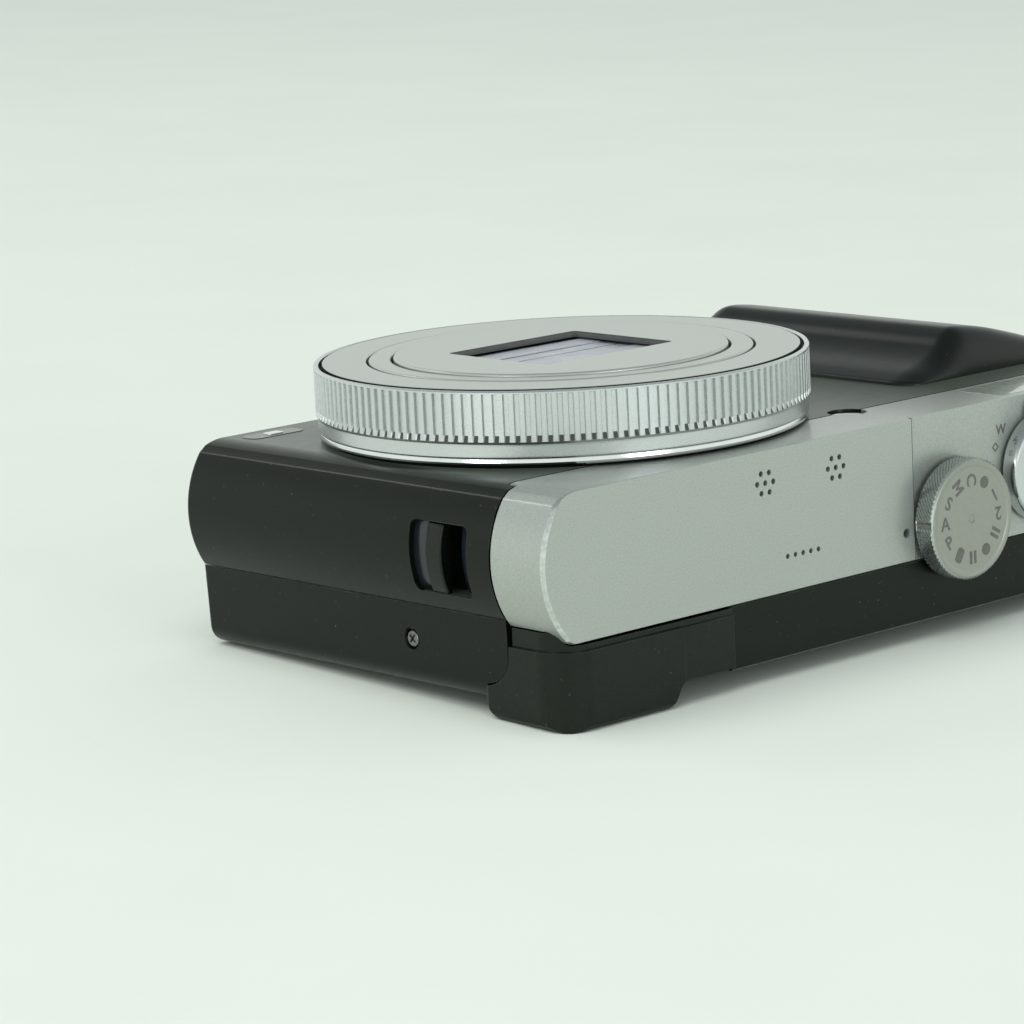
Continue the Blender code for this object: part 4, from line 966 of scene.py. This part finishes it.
def make_back():
    glass = sections("screen", "Z", [
        (0.0, grown(SCREEN, -0.1, 1.1)), (0.1, rounded(*SCREEN, 1.2)), (0.95, rounded(*SCREEN, 1.2))])
    dress(glass, "glass", replaces=["lcd_glass"])
    for name, (x, y, radius, proud) in BACK_BUTTONS.items():
        rows = [(0.3, proud + 0.02), (radius - 0.6, proud), (radius - 0.25, proud + 0.06),
                (radius - 0.05, proud + 0.22), (radius, proud + 0.4), (radius, 3.0)]
        button = disc(name.replace("button", "key"), "Z", (x, y), rows, 56)
        dress(button, "button", name, [name], angle=50)
    x, y = PAD_AT
    rows = [(4.6, -0.2), (4.75, -0.34), (5.0, -0.4), (7.5, -0.22), (9.6, -0.36), (10.1, -0.34), (10.4, -0.15),
            (10.5, 0.1), (10.5, 2.6), (4.6, 2.6)]
    pad = turned("cursor_ring", "Z", PAD_AT, rows, 120)
    dress(pad, "button", "cursor_pad", ["cursor_pad"], angle=50)
    rows = [(0.3, -0.18), (2.6, -0.2), (3.5, -0.3), (4.0, -0.28), (4.22, -0.1), (4.25, 0.1), (4.25, 3.0)]
    dress(disc("centre_key", "Z", PAD_AT, rows, 72), "button", "set_button", ["set_button"], angle=50)
    arrows = []
    for i in range(4):
        angle = pi / 2 * i
        turn = Matrix.Rotation(angle, 2)
        tip = [Vector((8.9, 0)), Vector((8.1, 0.7)), Vector((8.1, -0.7))]
        arrows.append(([tuple(Vector(PAD_AT) + turn @ p) for p in tip], -0.345, -0.2))
    dress(merged("cursor_arrows", sign("arrows", "Z", arrows)), "white_ink", "cursor_pad")
    rest = prism("thumb_pad", "Z", rounded(50.0, -27.5, 71.0, -14.5, 4.0, 12), -0.55, 0.2)
    soften(rest, 0.3, 3)
    studs = []
    for i in range(9):
        for j in range(5):
            cx, cy = 52.9 + 1.9 * i, -25.0 + 2.0 * j
            studs.append((circle(cx, cy, 0.5, 12), -0.72, -0.4))
    pad_mesh = merged("thumb_pad_studs", [rest.data] + sign("studs", "Z", studs))
    bpy.data.objects.remove(rest, do_unlink=True)
    dress(pad_mesh, "rubber", replaces=["thumb_rest"])


def make_base():
    x0, z0, x1, z1 = BASE_PLATE
    plate = prism("under_plate", "Y", rounded(x0, z0, x1, z1, 2.0), BASE - 1.0, BASE + 0.1)
    cut(plate, rod("cut", "Y", TRIPOD_AT, 5.0, BASE - 4, BASE + 4, 96),
          *[rod("cut", "Y", at, 1.45, BASE - 4, BASE + 4, 48) for at in BASE_SCREWS.values()])
    dress(soften(plate, 0.15, 3), "paint", replaces=["base_plate"])
    rows = [(4.8, BASE - 6.0), (4.8, BASE - 0.2), (4.6, BASE), (3.7, BASE), (3.4, BASE - 0.3)]
    for i in range(11):
        y = BASE - 0.5 - i * 0.5
        rows += [(3.19, y), (3.45, y - 0.25)]
    rows.append((3.2, BASE - 6.0))
    socket = turned("tripod_bush", "Y", TRIPOD_AT, rows, 96)
    dress(socket, "nickel", replaces=["tripod_socket"])
    rows = [(0.7, BASE - 4.5), (0.7, BASE - 1.0), (1.2, BASE - 0.6), (1.2, BASE - 0.3), (1.05, BASE - 0.2)]
    for name, (x, z) in BASE_SCREWS.items():
        head = disc(name.replace("base_", "case_"), "Y", (x, z), rows, 40)
        cut(head, *[block("cut", (x - a, BASE - 0.75, z - b), (x + a, BASE + 1, z + b))
                                    for a, b in ((0.72, 0.15), (0.15, 0.72))])
        dress(head, "screw", replaces=[name])

    x, y = DOOR_HINGE
    x0, z0, x1, z1 = DOOR
    door = block("battery_hatch", (x0, BASE - 1.05, z0), (x1, BASE - 0.05, z1))
    join(door, prism("join", "Z", circle(x, y, 1.2, 40), z0 + 2.5, z1 - 2.5),
          block("join", (x + 0.3, BASE - 1.05, z0 + 2.5), (x0 + 1.0, BASE - 0.3, z1 - 2.5)))
    cut(door, rod("cut", "Z", DOOR_HINGE, 0.7, 0, 40, 32),
          block("cut", (60.9, BASE - 0.86, 14.2), (69.6, BASE + 3, 17.8)))
    dress(soften(door, 0.14, 3), "paint", "battery_door", ["battery_door"])
    slider = block("hatch_slider", (64.6, BASE - 0.8, 14.5), (69.3, BASE - 0.35, 17.5))
    ribs = [block("join", (65.3 + 0.9 * i, BASE - 0.5, 14.8), (65.75 + 0.9 * i, BASE - 0.12, 17.2)) for i in range(4)]
    join(slider, *ribs)
    dress(soften(slider, 0.06), "inner", "door_latch", ["door_latch"])

    y0, z0, y1, z1 = PORT
    flap = prism("socket_flap", "Y", body_outline(), y0 - 1, y1 + 1)
    cut(flap, prism("cut", "Y", inner_body(1.1), y0 - 5, y1 + 5))
    keep(flap, prism("keep", "X", rounded(y0, z0, y1, z1, 0.8), RIGHT - 8, RIGHT + 4))
    cut(flap, rod("cut", "Z", (RIGHT + 0.3, y0 + 0.3), 1.0, 15.2, 18.8, 32))
    dress(soften(flap, 0.12, 3), "paint", "port_door", ["port_door"])


def dress_cad():
    """Procedural finishes for the CAD nodes that keep their own shape."""
    looks = {"evf_window": "eyepiece", "evf_module": "inner", "lcd_panel": "aluminium", "chassis_frame": "aluminium",
             "main_board": "board", "sensor_unit": "glass", "battery_case": "inner", "battery": "label",
             "memory_card": "card", "flash_capacitor": "sleeve", "speaker_unit": "inner", "mic_left": "felt",
             "mic_right": "felt", "usb_socket": "steel", "hdmi_socket": "steel", "zoom_group": "barrel",
             "lens_rear_plate": "void", "zoom_motor": "steel", "battery_door_pin": "steel"}
    for name, look in looks.items():
        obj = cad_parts[name]
        obj.data.materials.clear()
        obj.data.materials.append(M[look])


def main():
    make_materials()
    make_camera()
    make_stage()
    make_front_shell()
    make_rear_shell()
    make_top_shell()
    make_grip()
    make_side_fittings()
    make_viewfinder()
    make_ring()
    make_lens()
    make_dial()
    make_top_controls()
    make_windows()
    make_back()
    make_base()
    dress_cad()
    bpy.context.scene.view_settings.view_transform = "Standard"


main()
bpy.context.view_layer.update()
